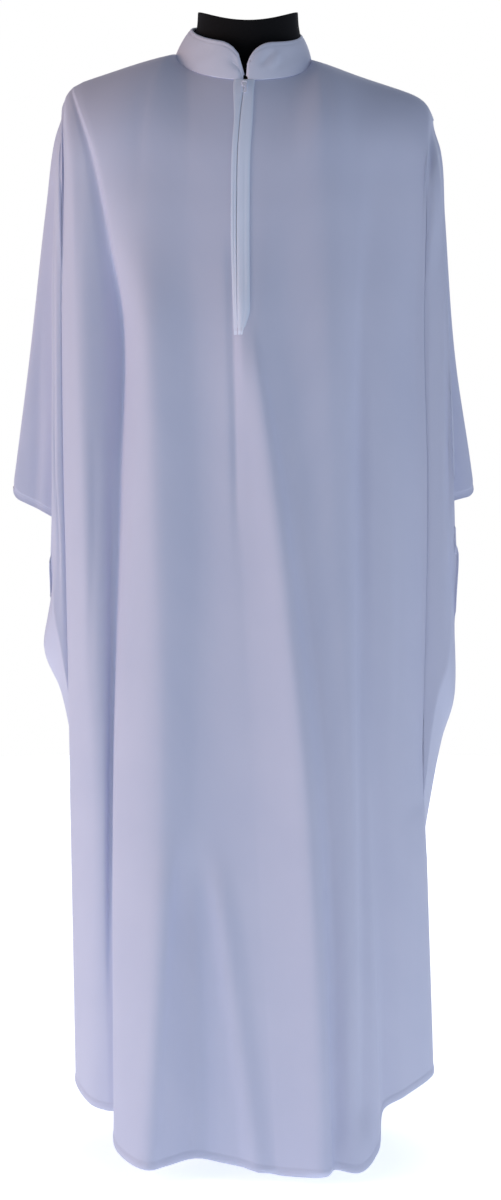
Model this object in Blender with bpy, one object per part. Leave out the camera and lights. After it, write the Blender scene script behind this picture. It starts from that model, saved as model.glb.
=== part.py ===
"""An alb robe hanging on a limbless dress form.

The robe is cloth: a front and a back panel, two very wide sleeves, a stand collar and a zip let
into a slit at the centre front. Each cloth piece is a thin wall whose outer surface is worked out
from the lines of its folds. A fold line runs from the shoulder to the hem; a table row gives where
it stands at named heights, and smooth curves join the lines across and the heights downwards.
The form is a smooth black torso and neck on a pole with a round base plate.

Metres, +Z up. The front faces -Y. The origin is the centre of the base plate's underside.
Tables of fold lines are in millimetres.
"""
import math

import bpy
import numpy as np
from mathutils import Matrix, Vector

MM = 0.001

# ---- cloth ----
WALL = 1.5 * MM                 # thickness of one layer of cloth
COLLAR_WALL = 2.5 * MM          # the collar is two layers and a stiffener
BAND_WALL = 1.1 * MM            # the stitched band beside the zip
SEAM_GAP = 0.4 * MM             # between two pieces at a seam
UNDERARM_GAP = 2.0 * MM         # between the underarm point and the tip of the sleeve's seam
LEAST_LEAN = 0.55               # limits how far a wall's inner point goes at a sharp fold

# ---- heights that the fold tables are given at ----
YOKE_Z = 1264 * MM
CHEST_Z = 1084 * MM
ELBOW_Z = 884 * MM
THIGH_Z = 504 * MM

# ---- rows of faces down the garment ----
YOKE_ROWS = 7                   # from the shoulder seam to the yoke height
SKIRT_ROWS = 24                 # from the yoke height to the hem
ROWS = YOKE_ROWS + SKIRT_ROWS
HEAD_ROWS = 4                   # rows of the panels that the sleeve's head is sewn to
HEAD_FADE_ROWS = 3              # rows of the sleeve over which its head's exact shape fades
CLOSING_ROWS = 8                # rows over which the armhole closes to the underarm point

# ---- neckline and shoulders ----
NECK_HALF_WIDTH = 91 * MM
NECK_FRONT = 87 * MM            # how far the neckline reaches forward of the shoulder seam
NECK_BACK = 74 * MM
NECK_SIDE_Z = 1430 * MM
NECK_FRONT_DROP = 42 * MM
NECK_BACK_RISE = 16 * MM
SHOULDER_TIP_X = {-1: 239 * MM, 1: 240 * MM}
SHOULDER_END_Z = {-1: 1388 * MM, 1: 1371 * MM}      # of the straight slope, above the tip
TIP_DROP = 24 * MM              # how far the seam bends down at the tip
TIP_ROUND_POWER = 18            # higher bends later
ARMHOLE_HALF_WIDTH = 22 * MM    # half the gap between front and back panel at the armhole
CENTRE_ROLL = 0.4               # how rounded the panel leaves the neckline, 1 is a quarter circle

# Side seams and armholes. Columns: side, rows down to the underarm point, x at yoke, chest,
# elbow, thigh and hem, z of the hem.
SEAMS = {
    -1: (23, -226, -217, -213, -210, -211, 92),
    1: (25, 214, 198, 205, 214, 232, 101),
}

# Fold lines of the front panel from the -X side to the +X side. Columns: name, faces to the next
# line, seat (place along the shoulder and neckline, -1 and 1 at the tips, -0.5 and 0.5 at the
# neck's sides), x and y at yoke, chest, elbow, thigh and hem, z of the hem.
FRONT_FOLDS = [
    ("side edge", 2, -0.982, -238, -45, -236, -55, -235, -60, -231, -55, -227, -42, 88),
    ("side crest", 1, -0.962, -223, -75, -218, -86, -214, -92, -211, -102, -205, -88, 71),
    ("side hollow", 2, -0.946, -206, -86, -200, -80, -192, -78, -186, -94, -182, -100, 68),
    ("tuck", 2, -0.932, -190, -88, -161, -72, -152, -62, -161, -88, -165, -104, 67),
    ("lobe edge", 3, -0.916, -190, -99, -156, -103, -155, -106, -166, -125, -170, -142, 31),
    ("lobe crest", 3, -0.500, -141, -122, -132, -141, -129, -147, -130, -166, -134, -187, 18),
    ("long hollow", 3, -0.330, -72, -122, -66, -134, -56, -136, -66, -149, -68, -160, 24),
    ("slit, -X edge", 1, -0.021, -18, -125, -15, -147, -6, -155, 25, -176, 58, -195, 8),
    ("slit, +X edge", 2, 0.000, -12, -125, -9, -147, 1, -155, 32, -176, 66, -195, 7),
    ("middle edge", 2, 0.060, 19, -125, 20, -142, 34, -146, 73, -166, 105, -187, 11),
    ("middle tuck", 3, 0.170, 52, -124, 54, -137, 54, -135, 89, -146, 108, -166, 15),
    ("second crest", 3, 0.500, 104, -117, 104, -137, 113, -143, 122, -160, 133, -181, 10),
    ("far edge", 2, 0.740, 143, -99, 135, -112, 139, -116, 150, -131, 166, -149, 27),
    ("far tuck", 2, 0.850, 172, -86, 155, -90, 157, -84, 158, -94, 164, -106, 72),
    ("far side crest", 2, 0.925, 199, -72, 186, -88, 188, -92, 194, -100, 203, -94, 85),
    ("far side edge", 2, 0.970, 221, -45, 208, -55, 218, -60, 228, -55, 244, -42, 98),
]

# Fold lines of the back panel, in the same columns.
BACK_FOLDS = [
    ("side edge", 2, -0.975, -239, 45, -237, 55, -236, 60, -231, 56, -226, 44, 88),
    ("side crest", 2, -0.940, -221, 78, -215, 89, -212, 95, -208, 107, -203, 104, 72),
    ("side hollow", 3, -0.890, -190, 94, -178, 94, -172, 88, -172, 102, -173, 112, 66),
    ("lobe crest", 3, -0.500, -140, 118, -131, 132, -128, 140, -128, 160, -129, 178, 42),
    ("hollow", 3, -0.300, -70, 124, -66, 134, -63, 133, -60, 145, -57, 157, 38),
    ("middle crest", 3, 0.030, 2, 127, 5, 140, 8, 149, 11, 168, 13, 187, 28),
    ("far hollow", 3, 0.300, 68, 124, 67, 134, 69, 133, 74, 145, 79, 158, 39),
    ("far lobe crest", 3, 0.500, 137, 116, 131, 130, 134, 138, 140, 157, 146, 175, 44),
    ("far side hollow", 2, 0.870, 188, 90, 178, 90, 175, 86, 180, 100, 188, 110, 70),
    ("far side crest", 2, 0.930, 212, 74, 203, 86, 208, 94, 214, 105, 220, 103, 82),
    ("far side edge", 2, 0.970, 223, 45, 212, 55, 221, 60, 228, 56, 242, 44, 96),
]

# Fold lines of the front half of each sleeve, from the armhole to the overarm fold; the back half
# is its mirror image. Columns: name, faces to the next line, x and y at the cap, upper, lower, cuff
# and end stations of the sleeve, z of the end.
SLEEVE_FOLDS = {
    -1: [
        ("underarm", 2, -235, -25, -235, -30, -232, -31, -234, -24, -243, 0, 599),
        ("lower corner", 1, -240, -30, -243, -38, -243, -44, -246, -34, -269, 0, 658),
        ("cuff edge", 1, -243, -29, -246, -39, -246, -46, -249, -42, -257, -29, 726),
        ("cuff crest", 1, -245, -26, -248, -36, -249, -44, -252, -43, -255, -39, 796),
        ("cuff hollow", 2, -246, -14, -245, -18, -241, -20, -240, -18, -241, -17, 821),
        ("overarm", 0, -250, 0, -262, 0, -286, 0, -303, 0, -310, 0, 860),
    ],
    1: [
        ("underarm", 2, 232, -28, 231, -36, 237, -39, 241, -30, 256, 0, 536),
        ("lower corner", 1, 238, -34, 243, -46, 253, -51, 258, -42, 272, 0, 591),
        ("cuff edge", 1, 243, -31, 249, -45, 259, -52, 263, -48, 270, -33, 704),
        ("cuff crest", 1, 245, -27, 251, -39, 262, -47, 267, -47, 268, -43, 814),
        ("cuff hollow", 2, 246, -14, 247, -17, 251, -20, 252, -20, 252, -19, 846),
        ("overarm", 0, 250, 0, 256, 0, 272, 0, 291, 0, 298, 0, 862),
    ],
}
SLEEVE_STATIONS = (0.0, 0.08, 0.25, 0.65, 0.9, 1.0)     # head, cap, upper, lower, cuff and end

# ---- collar ----
COLLAR_TOP_HALF_WIDTH = 74 * MM
COLLAR_TOP_FRONT = 76 * MM
COLLAR_TOP_BACK = 66 * MM
COLLAR_TOP_SIDE_Z = 1463 * MM
COLLAR_TOP_FRONT_DROP = 28 * MM
COLLAR_TOP_BACK_RISE = 12 * MM
COLLAR_FRONT_ROUND = 40 * MM    # length over which the front ends curve up to the full height
COLLAR_ROUND_POWER = 2.2
COLLAR_LEAST_HEIGHT = 0.13      # of the full height, at the very ends
COLLAR_BULGE = 1.5 * MM
COLLAR_ROWS = 3

# ---- zip ----
SLIT_ROWS = 10                  # rows of the front panel that the slit runs through
BAND_ROWS = 11
BAND_OFF_PANEL = 0.5 * MM
BAND_SPLIT = 0.6 * MM           # each band stops this far from the zip's centre line
BAND_TOP_WIDTHS = {-1: 15 * MM, 1: 12 * MM}
BAND_WIDTHS = {-1: 9 * MM, 1: 19 * MM}
BAND_TAPER_ROWS = 4             # rows over which the band takes its full width
TAPE_HALF_WIDTH = 13 * MM
TAPE_WALL = 1.0 * MM
CHAIN_HALF_WIDTH = 2.2 * MM
CHAIN_WALL = 1.2 * MM
SLIDER_DROP = 7 * MM            # below the neckline, along the panel, to the slider's middle
SLIDER_LIFT = 0.4 * MM          # from the bands to the slider
SLIDER_HALF_WIDTH = 4.4 * MM
SLIDER_HALF_LENGTH = 5.0 * MM
SLIDER_THICK = 2.2 * MM
PIN_RADIUS = 0.6 * MM
PIN_HALF_LENGTH = 3.0 * MM
POST_HALF_WIDTH = 0.5 * MM      # of the two posts that carry the pin
PIN_HEIGHT = 1.8 * MM           # of the pin's axis over the slider
EYE_RADIUS = 1.35 * MM
EYE_HOLE_RADIUS = 0.9 * MM
EYE_HALF_WIDTH = 1.6 * MM
PULL_LENGTH = 17 * MM
PULL_HALF_WIDTH = 2.7 * MM
PULL_THICK = 1.2 * MM
PULL_TIP_SEGMENTS = 8

# ---- dress form ----
FORM_SIDES = 28
FORM_LEAN = -0.05               # rise of the shoulders per metre towards +X
# Rings of the form. Columns: z, half width, depth to the front, depth to the back, power of the
# superellipse (2 is an ellipse), share of the lean.
FORM_RINGS = [
    (766, 132, 84, 90, 2.3, 0.0),
    (772, 144, 92, 98, 2.3, 0.0),
    (789, 151, 98, 105, 2.3, 0.0),
    (854, 154, 101, 110, 2.3, 0.0),
    (944, 147, 98, 100, 2.3, 0.0),
    (1034, 141, 98, 92, 2.3, 0.0),
    (1134, 148, 105, 98, 2.3, 0.2),
    (1224, 163, 107, 104, 2.3, 0.5),
    (1294, 180, 98, 104, 2.3, 0.9),
    (1339, 190, 80, 90, 2.2, 1.0),
    (1366, 193, 62, 70, 2.1, 1.0),
    (1385, 181, 46, 52, 1.9, 1.0),
    (1396, 153, 45, 50, 1.7, 1.0),
    (1406, 119, 46, 50, 1.5, 0.9),
    (1416, 94, 47, 52, 1.5, 0.6),
    (1428, 79, 53, 57, 1.7, 0.3),
    (1444, 71, 59, 60, 2.0, 0.0),
    (1465, 67.5, 60, 60, 2.0, 0.0),
    (1484, 65.5, 60, 60, 2.0, 0.0),
]
NECK_TOP_DISH = 17 * MM         # how much lower the neck's top is in front and behind
POLE_RADIUS = 16 * MM
BASE_RADIUS = 105 * MM
BASE_THICK = 14 * MM
BASE_EDGE = 4 * MM
TURNED_SIDES = 40
CONTACT_GAP = 0.3 * MM

# ---- colours: base colour, roughness, metallic ----
FINISHES = {
    "cloth": ((0.62, 0.65, 0.80), 0.75, 0.0),
    "zip": ((0.66, 0.68, 0.84), 0.45, 0.0),
    "slider": ((0.70, 0.72, 0.86), 0.35, 0.0),
    "form": ((0.012, 0.011, 0.013), 0.85, 0.0),
    "stand": ((0.10, 0.10, 0.11), 0.35, 1.0),
}


def clear_scene():
    """Remove what the scene holds."""
    for old in list(bpy.data.objects):
        bpy.data.objects.remove(old, do_unlink=True)


def finish(name, kind):
    """A plain material of one kind for one piece."""
    colour, roughness, metallic = FINISHES[kind]
    material = bpy.data.materials.new(name)
    material.use_nodes = True
    shader = material.node_tree.nodes["Principled BSDF"]
    shader.inputs["Base Color"].default_value = (*colour, 1.0)
    shader.inputs["Roughness"].default_value = roughness
    shader.inputs["Metallic"].default_value = metallic
    return material


def add_object(name, points, faces, kind, smooth_angle=40.0):
    """One named mesh object with its own material."""
    mesh = bpy.data.meshes.new(name)
    mesh.from_pydata([tuple(map(float, point)) for point in points], [], faces)
    mesh.validate()
    mesh.shade_smooth()
    mesh.set_sharp_from_angle(angle=math.radians(smooth_angle))
    mesh.materials.append(finish(name, kind))
    thing = bpy.data.objects.new(name, mesh)
    bpy.context.scene.collection.objects.link(thing)
    return thing


# ---------------------------------------------------------------- curves and grids

def unit(vectors):
    """Vectors scaled to length 1."""
    return vectors / np.maximum(np.linalg.norm(vectors, axis=-1, keepdims=True), 1e-12)


def smooth_step(share):
    """0 below 0, 1 above 1 and a soft S between."""
    share = np.clip(share, 0.0, 1.0)
    return share * share * (3.0 - 2.0 * share)


def hermite(share, start, end, start_slope, end_slope, span):
    """Cubic between two values with given slopes, share running from 0 to 1 over the span."""
    two, three = share ** 2, share ** 3
    return ((2 * three - 3 * two + 1) * start + (three - 2 * two + share) * start_slope * span
            + (3 * two - 2 * three) * end + (three - two) * end_slope * span)


def curve_at(knots, values, places):
    """Smooth curve through (knots, values) read at places, flat where it starts.

    The slope at an inner knot is the mean of its neighbours' slopes, the nearer one counting more.
    """
    knots, values = np.asarray(knots, float), np.asarray(values, float)
    gaps = np.diff(knots)
    rises = np.diff(values) / gaps
    slopes = np.concatenate(([0.0], (rises[:-1] * gaps[1:] + rises[1:] * gaps[:-1])
                             / (gaps[:-1] + gaps[1:]), rises[-1:]))
    piece = np.clip(np.searchsorted(knots, places, side="right") - 1, 0, len(gaps) - 1)
    share = (places - knots[piece]) / gaps[piece]
    return hermite(share, values[piece], values[piece + 1], slopes[piece], slopes[piece + 1],
                   gaps[piece])


def across(lines, faces):
    """Grid of points from fold lines: smooth through the lines, row by row.

    lines has the shape rows x lines x 3 and faces says how many faces lie between each line and
    the next. The curve parameter grows with the square root of the distance between the lines.
    """
    gaps = np.sqrt(np.linalg.norm(np.diff(lines, axis=1), axis=2, keepdims=True))
    rises = np.diff(lines, axis=1) / gaps
    inner = (rises[:, :-1] * gaps[:, 1:] + rises[:, 1:] * gaps[:, :-1]) / (gaps[:, :-1] + gaps[:, 1:])
    slopes = np.concatenate((rises[:, :1], inner, rises[:, -1:]), axis=1)
    columns = []
    for number, count in enumerate(faces):
        for step in range(count):
            columns.append(hermite(step / count, lines[:, number], lines[:, number + 1],
                                   slopes[:, number], slopes[:, number + 1], gaps[:, number]))
    columns.append(lines[:, -1])
    return np.stack(columns, axis=1)


# ---------------------------------------------------------------- robe: top edge, seams, panels

def neckline(angle):
    """Point of the neckline: angle 0 at the front, a quarter turn at the sides, half behind."""
    sine, cosine = math.sin(angle), math.cos(angle)
    reach = NECK_FRONT if cosine > 0 else NECK_BACK
    rise = -NECK_FRONT_DROP if cosine > 0 else NECK_BACK_RISE
    return np.array((NECK_HALF_WIDTH * sine, -reach * cosine, NECK_SIDE_Z + rise * abs(cosine)))


def top_edge(seat, front):
    """Point of a panel's top edge: the neckline for seats within 0.5, else the shoulder seam."""
    if abs(seat) <= 0.5:
        angle = math.pi * seat
        return neckline(angle if front else math.pi - angle)
    side = 1 if seat > 0 else -1
    share = (abs(seat) - 0.5) / 0.5
    x = NECK_HALF_WIDTH + (SHOULDER_TIP_X[side] - NECK_HALF_WIDTH) * share
    z = NECK_SIDE_Z + (SHOULDER_END_Z[side] - NECK_SIDE_Z) * share
    return np.array((side * x, 0.0, z - TIP_DROP * share ** TIP_ROUND_POWER))


def drop_line(top, roll, stations, hem_z):
    """A line of points from the top edge over the shoulder and down to the hem.

    stations holds x and y at yoke, chest, elbow, thigh and hem. Down to the yoke the line is a
    quarter ellipse where roll is 1 and straighter where it is less.
    """
    share = np.arange(YOKE_ROWS) / YOKE_ROWS
    turn = share * math.pi / 2
    out = (1 - roll) * share + roll * np.sin(turn)
    down = (1 - roll) * share + roll * (1 - np.cos(turn))
    yoke = np.array((*stations[0], YOKE_Z))
    upper = top + (yoke - top) * np.stack((out, out, down), axis=1)
    z = YOKE_Z + (hem_z - YOKE_Z) * np.arange(SKIRT_ROWS + 1) / SKIRT_ROWS
    heights = -np.array((YOKE_Z, CHEST_Z, ELBOW_Z, THIGH_Z, hem_z))
    x = curve_at(heights, [place[0] for place in stations], -z)
    y = curve_at(heights, [place[1] for place in stations], -z)
    return np.vstack((upper, np.stack((x, y, z), axis=1)))


def seam_line(side, front):
    """Armhole edge, then side seam: the line where a panel meets the sleeve and the other panel.

    The armhole opens over the sleeve's head and closes again above the underarm point.
    """
    underarm_row, *places, hem_z = SEAMS[side]
    stations = [(x * MM, 0.0) for x in places]
    line = drop_line(top_edge(float(side), True), 1.0, stations, hem_z * MM)
    row = np.arange(ROWS + 1)
    opening = np.sin(np.clip(row / HEAD_ROWS, 0, 1) * math.pi / 2)
    opening *= np.sqrt(np.clip((underarm_row - row) / CLOSING_ROWS, 0, 1))
    line[:, 1] = opening * ARMHOLE_HALF_WIDTH * (-1 if front else 1)
    return line


def faces_across(folds):
    """Faces between each line of a panel and the next, from seam to seam."""
    return [2] + [row[1] for row in folds]


def seats_across(folds):
    """Seat of each column of points of a panel."""
    marks = np.concatenate(([0], np.cumsum(faces_across(folds))))
    seats = [-1.0] + [row[2] for row in folds] + [1.0]
    return np.interp(np.arange(marks[-1] + 1), marks, seats)


def panel_grid(folds, front):
    """Outer surface of the front or the back panel, one row of points for each row of faces."""
    lines = [seam_line(-1, front)]
    for _, _, seat, *numbers in folds:
        places = [value * MM for value in numbers]
        stations = list(zip(places[0:10:2], places[1:10:2]))
        inside = min(abs(seat) / 0.5, 1.0)
        roll = CENTRE_ROLL + (1 - CENTRE_ROLL) * inside ** 2
        lines.append(drop_line(top_edge(seat, front), roll, stations, places[10]))
    lines.append(seam_line(1, front))
    grid = across(np.stack(lines, axis=1), faces_across(folds))
    edge = np.array([top_edge(seat, front) for seat in seats_across(folds)])
    fade = 1 - np.arange(YOKE_ROWS) / YOKE_ROWS     # the exact top edge, fading to the yoke
    grid[:YOKE_ROWS] += (edge - grid[0]) * fade[:, None, None]
    return grid


def sleeve_grid(side):
    """Outer surface of a sleeve: columns from the front armhole over the overarm to the back.

    Its head row runs along the ends of the panels' first rows, two faces to each of their rows,
    and its side edges are the armhole edges below.
    """
    underarm_row = SEAMS[side][0]
    front, back = seam_line(side, True), seam_line(side, False)
    head_edge = np.vstack((front[HEAD_ROWS:0:-1], back[:HEAD_ROWS + 1]))
    marks = np.arange(len(head_edge)) * 2
    columns = np.arange(4 * HEAD_ROWS + 1)
    head = np.stack([np.interp(columns, marks, head_edge[:, axis]) for axis in range(3)], axis=1)
    armhole = front[HEAD_ROWS:underarm_row + 1]
    progress = (armhole[0, 2] - armhole[:, 2]) / (armhole[0, 2] - armhole[-1, 2])
    lines, column = [armhole], 1
    for _, count, *numbers in SLEEVE_FOLDS[side]:
        places = [value * MM for value in numbers]
        x = curve_at(SLEEVE_STATIONS, [head[column, 0]] + places[0:10:2], progress)
        y = curve_at(SLEEVE_STATIONS, [head[column, 1]] + places[1:10:2], progress)
        z = head[column, 2] + (places[10] - head[column, 2]) * progress
        lines.append(np.stack((x, y, z), axis=1))
        column += count
    mirror = np.array((1.0, -1.0, 1.0))
    lines += [line * mirror for line in lines[-2::-1]]
    counts = [1] + [row[1] for row in SLEEVE_FOLDS[side][:-1]]
    grid = across(np.stack(lines, axis=1), counts + counts[::-1])
    fade = 1 - np.arange(HEAD_FADE_ROWS) / HEAD_FADE_ROWS
    grid[:HEAD_FADE_ROWS] += (head - grid[0]) * fade[:, None, None]
    sewn = sum(counts[:2])                          # faces of the underarm seam, from the armhole
    grid[-1, :sewn + 1, 1] = 0.0
    grid[-1, -sewn - 1:, 1] = 0.0
    return grid


def face_normals(grid, flip):
    """Unit normals of a grid's faces, from each face's diagonals."""
    first = grid[1:, 1:] - grid[:-1, :-1]
    second = grid[1:, :-1] - grid[:-1, 1:]
    return unit(np.cross(first, second)) * (-1 if flip else 1)


def spread(values, rows, columns):
    """Sum of each point's neighbouring faces' values, and the number of those faces."""
    total = np.zeros((rows, columns, values.shape[2]))
    count = np.zeros((rows, columns, 1))
    for down in (slice(0, rows - 1), slice(1, rows)):
        for along in (slice(0, columns - 1), slice(1, columns)):
            total[down, along] += values
            count[down, along] += 1
    return total, count


def grid_normals(grid, flip):
    """Normals at the points of a grid, the mean of the faces around each point."""
    total, _ = spread(face_normals(grid, flip), *grid.shape[:2])
    return unit(total)


def offset(grid, normals, distance, flip):
    """The grid moved along its normals, further where it is sharply folded, so that the wall
    between the two keeps its thickness."""
    faces = face_normals(grid, flip)
    rows, columns = grid.shape[:2]
    total, count = spread(faces, rows, columns)
    lean = np.sum(total / count * normals, axis=2, keepdims=True)
    return grid + normals * distance / np.maximum(lean, LEAST_LEAN)


def share_normals(pieces):
    """Give points where pieces meet one common normal, the mean of the pieces' own."""
    points = np.vstack([piece["grid"].reshape(-1, 3) for piece in pieces])
    normals = np.vstack([piece["own"].reshape(-1, 3) for piece in pieces])
    _, place = np.unique(np.round(points / (0.02 * MM)).astype(int), axis=0, return_inverse=True)
    place = place.reshape(-1)
    total = np.zeros((place.max() + 1, 3))
    np.add.at(total, place, normals)
    shared = unit(total)[place]
    start = 0
    for piece in pieces:
        size = piece["own"].size // 3
        piece["normals"] = shared[start:start + size].reshape(piece["own"].shape)
        start += size


def pull_in(grid, normals, distance):
    """Move a piece's side and top edges off their seams, square to the seam and its normal."""
    moved = grid.copy()
    for edge, inner in ((np.s_[:, 0], np.s_[:, 1]), (np.s_[:, -1], np.s_[:, -2]),
                        (np.s_[0, :], np.s_[1, :])):
        along = unit(np.gradient(grid[edge], axis=0))
        way = grid[inner] - grid[edge]
        way -= along * np.sum(way * along, axis=-1, keepdims=True)
        way -= normals[edge] * np.sum(way * normals[edge], axis=-1, keepdims=True)
        moved[edge] += distance * unit(way)
    return moved


def wall(name, outer, inner, kind, flip, skip=None):
    """Closed wall between an outer and an inner grid of points, rimmed where the grid ends.

    skip marks cells left open. Points that coincide become one, so a tube's seam closes.
    """
    rows, columns = outer.shape[0], outer.shape[1]
    index = np.arange(rows * columns).reshape(rows, columns)
    a, b = index[:-1, :-1], index[:-1, 1:]
    c, d = index[1:, 1:], index[1:, :-1]
    keep = np.ones(a.shape, bool) if skip is None else ~skip
    one = np.linalg.norm(outer[:-1, :-1] - outer[1:, 1:], axis=2)
    other = np.linalg.norm(outer[:-1, 1:] - outer[1:, :-1], axis=2)
    short = (one <= other) & keep
    long = (one > other) & keep
    faces = np.vstack([np.stack(corners, axis=-1) for corners in (
        (a[short], b[short], c[short]), (a[short], c[short], d[short]),
        (a[long], b[long], d[long]), (b[long], c[long], d[long]))])
    if flip:
        faces = faces[:, ::-1]
    _, first, same = np.unique(np.round(outer.reshape(-1, 3) / (0.005 * MM)).astype(int), axis=0,
                               return_index=True, return_inverse=True)
    faces = same.reshape(-1)[faces]
    points = np.vstack((outer.reshape(-1, 3)[first], inner.reshape(-1, 3)[first]))
    shift = len(first)
    edges = {}
    for face in faces.tolist():
        for start, end in zip(face, face[1:] + face[:1]):
            edges[(start, end)] = True
    rim = [(end, start, start + shift, end + shift)
           for start, end in edges if (end, start) not in edges]
    inside = (faces[:, ::-1] + shift).tolist()
    used = sorted({corner for face in faces.tolist() + inside + rim for corner in face})
    renumber = {old: new for new, old in enumerate(used)}
    everything = [tuple(renumber[corner] for corner in face)
                  for face in faces.tolist() + inside + rim]
    return add_object(name, points[used], everything, kind)


def cloth_piece(piece):
    """The solid of a robe piece: its outer grid and the same grid a wall's thickness inside."""
    grid = piece["grid"]
    inner = offset(grid, piece["normals"], -WALL, piece["flip"])
    shift = pull_in(grid, piece["normals"], SEAM_GAP / 2) - grid
    if "tip" in piece:                              # a tube's underarm point
        shift[-1, (0, -1)] = unit(grid[-1, 1] - grid[-1, 0]) * piece["tip"]
    outer, inner = grid + shift, inner + shift
    wall(piece["name"], outer, inner, "cloth", piece["flip"], piece.get("skip"))


def slit_cells(grid):
    """The cells of the front panel that the zip's slit takes."""
    cells = np.zeros((grid.shape[0] - 1, grid.shape[1] - 1), bool)
    cells[:SLIT_ROWS, slit_column()] = True
    return cells


def slit_column():
    """The column of faces between the two edges of the slit."""
    names = [row[0] for row in FRONT_FOLDS]
    return 2 + sum(row[1] for row in FRONT_FOLDS[:names.index("slit, -X edge")])


def make_robe():
    """Front, back and sleeves. Returns the front and the back panel's pieces."""
    front = {"name": "robe_front", "grid": panel_grid(FRONT_FOLDS, True), "flip": True}
    front["skip"] = slit_cells(front["grid"])
    back = {"name": "robe_back", "grid": panel_grid(BACK_FOLDS, False), "flip": False}
    sleeves = [{"name": name, "grid": sleeve_grid(side), "flip": side > 0, "tip": UNDERARM_GAP}
               for name, side in (("sleeve_left", 1), ("sleeve_right", -1))]
    pieces = [front, back] + sleeves
    for piece in pieces:
        piece["own"] = grid_normals(piece["grid"], piece["flip"])
    share_normals(pieces)
    for piece, folds in ((front, FRONT_FOLDS), (back, BACK_FOLDS)):
        shoulder = np.abs(seats_across(folds)) >= 0.5
        piece["normals"][0, shoulder, 1] = 0.0      # both walls end upright at the shoulder seam
        piece["normals"][0] = unit(piece["normals"][0])
    for sleeve in sleeves:                          # the head's added points follow their neighbours
        edge = sleeve["normals"][0]
        edge[1::2] = unit(edge[:-1:2] + edge[2::2])
    for piece in pieces:
        cloth_piece(piece)
    return front, back


# ---------------------------------------------------------------- collar

def collar_base(front, back):
    """Points of the neckline from one side of the slit round the neck to the other side.

    They are the panels' own top edge points, with one more half way between each two.
    """
    inside = [np.abs(seats_across(folds)) <= 0.5 + 1e-9 for folds in (FRONT_FOLDS, BACK_FOLDS)]
    edge = np.flatnonzero(inside[0])
    ahead, behind = front[0], back[0][inside[1]][::-1]
    slit = slit_column()
    ring = np.vstack((ahead[slit + 1:edge[-1]], behind, ahead[edge[0] + 1:slit + 1]))
    places = np.arange(2 * len(ring) - 1) / 2
    return np.stack([np.interp(places, np.arange(len(ring)), ring[:, axis]) for axis in range(3)],
                    axis=1)


def collar_top(low):
    """The collar's upper edge over the points of its lower edge."""
    reach = np.where(low[:, 1] < 0, NECK_FRONT, NECK_BACK)
    angle = np.arctan2(low[:, 0] / NECK_HALF_WIDTH, -low[:, 1] / reach)
    sine, cosine = np.sin(angle), np.cos(angle)
    reach = np.where(cosine > 0, COLLAR_TOP_FRONT, COLLAR_TOP_BACK)
    rise = np.where(cosine > 0, -COLLAR_TOP_FRONT_DROP, COLLAR_TOP_BACK_RISE)
    return np.stack((COLLAR_TOP_HALF_WIDTH * sine, -reach * cosine,
                     COLLAR_TOP_SIDE_Z + rise * np.abs(cosine)), axis=1)


def make_collar(front, back):
    """Stand collar: a band round the neck, leaning in, its front ends rounded off to the zip."""
    low = collar_base(front, back)
    high = collar_top(low)
    steps = np.concatenate(([0.0], np.cumsum(np.linalg.norm(np.diff(low, axis=0), axis=1))))
    from_end = np.minimum(steps, steps[-1] - steps)
    flat = np.clip(1 - from_end / COLLAR_FRONT_ROUND, 0.0, 1.0)
    height = (1 - flat ** COLLAR_ROUND_POWER) ** (1 / COLLAR_ROUND_POWER)
    height = COLLAR_LEAST_HEIGHT + (1 - COLLAR_LEAST_HEIGHT) * height
    base = low + unit(high - low) * SEAM_GAP
    grid = np.stack([base + (high - low) * (height * up)[:, None]
                     for up in np.linspace(1.0, 0.0, COLLAR_ROWS + 1)], axis=0)
    bulge = np.sin(np.linspace(0.0, math.pi, COLLAR_ROWS + 1))[:, None, None] * COLLAR_BULGE
    outer = grid + grid_normals(grid, True) * bulge * height[None, :, None]
    inner = offset(outer, grid_normals(outer, True), -COLLAR_WALL, True)
    wall("collar", outer, inner, "cloth", True)


# ---------------------------------------------------------------- zip

def point_along(row, start, distance):
    """Point of a row of panel points at a distance along it from a starting column."""
    steps = np.linalg.norm(np.diff(row, axis=0), axis=1)
    lengths = np.concatenate(([0.0], np.cumsum(steps)))
    place = lengths[start] + distance
    return np.array([np.interp(place, lengths, row[:, axis]) for axis in range(3)])


def strip(panel, offsets, rows, last_share, lift):
    """Grid of points that lies along the slit.

    offsets gives, for each row, distances across the panel from the slit's centre line; lift is
    how far the points stand off the panel's outer surface. The last row lies last_share of the
    way down to the panel's next row.
    """
    grid, normals = panel["grid"], panel["normals"]
    column = slit_column()
    surface = grid + normals * lift
    lines = []
    for row in range(rows + 1):
        half = np.linalg.norm(grid[row, column + 1] - grid[row, column]) / 2
        lines.append([point_along(surface[row], column, half + offset) for offset in offsets[row]])
    lines = np.array(lines)
    lines[-1] = lines[-2] + (lines[-1] - lines[-2]) * last_share
    return lines


def strip_wall(name, panel, offsets, rows, last_share, low, high, kind):
    """Solid strip along the slit between two heights off the panel's outer surface."""
    inner = strip(panel, offsets, rows, last_share, low)
    outer = strip(panel, offsets, rows, last_share, high)
    wall(name, outer, inner, kind, True)


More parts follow.
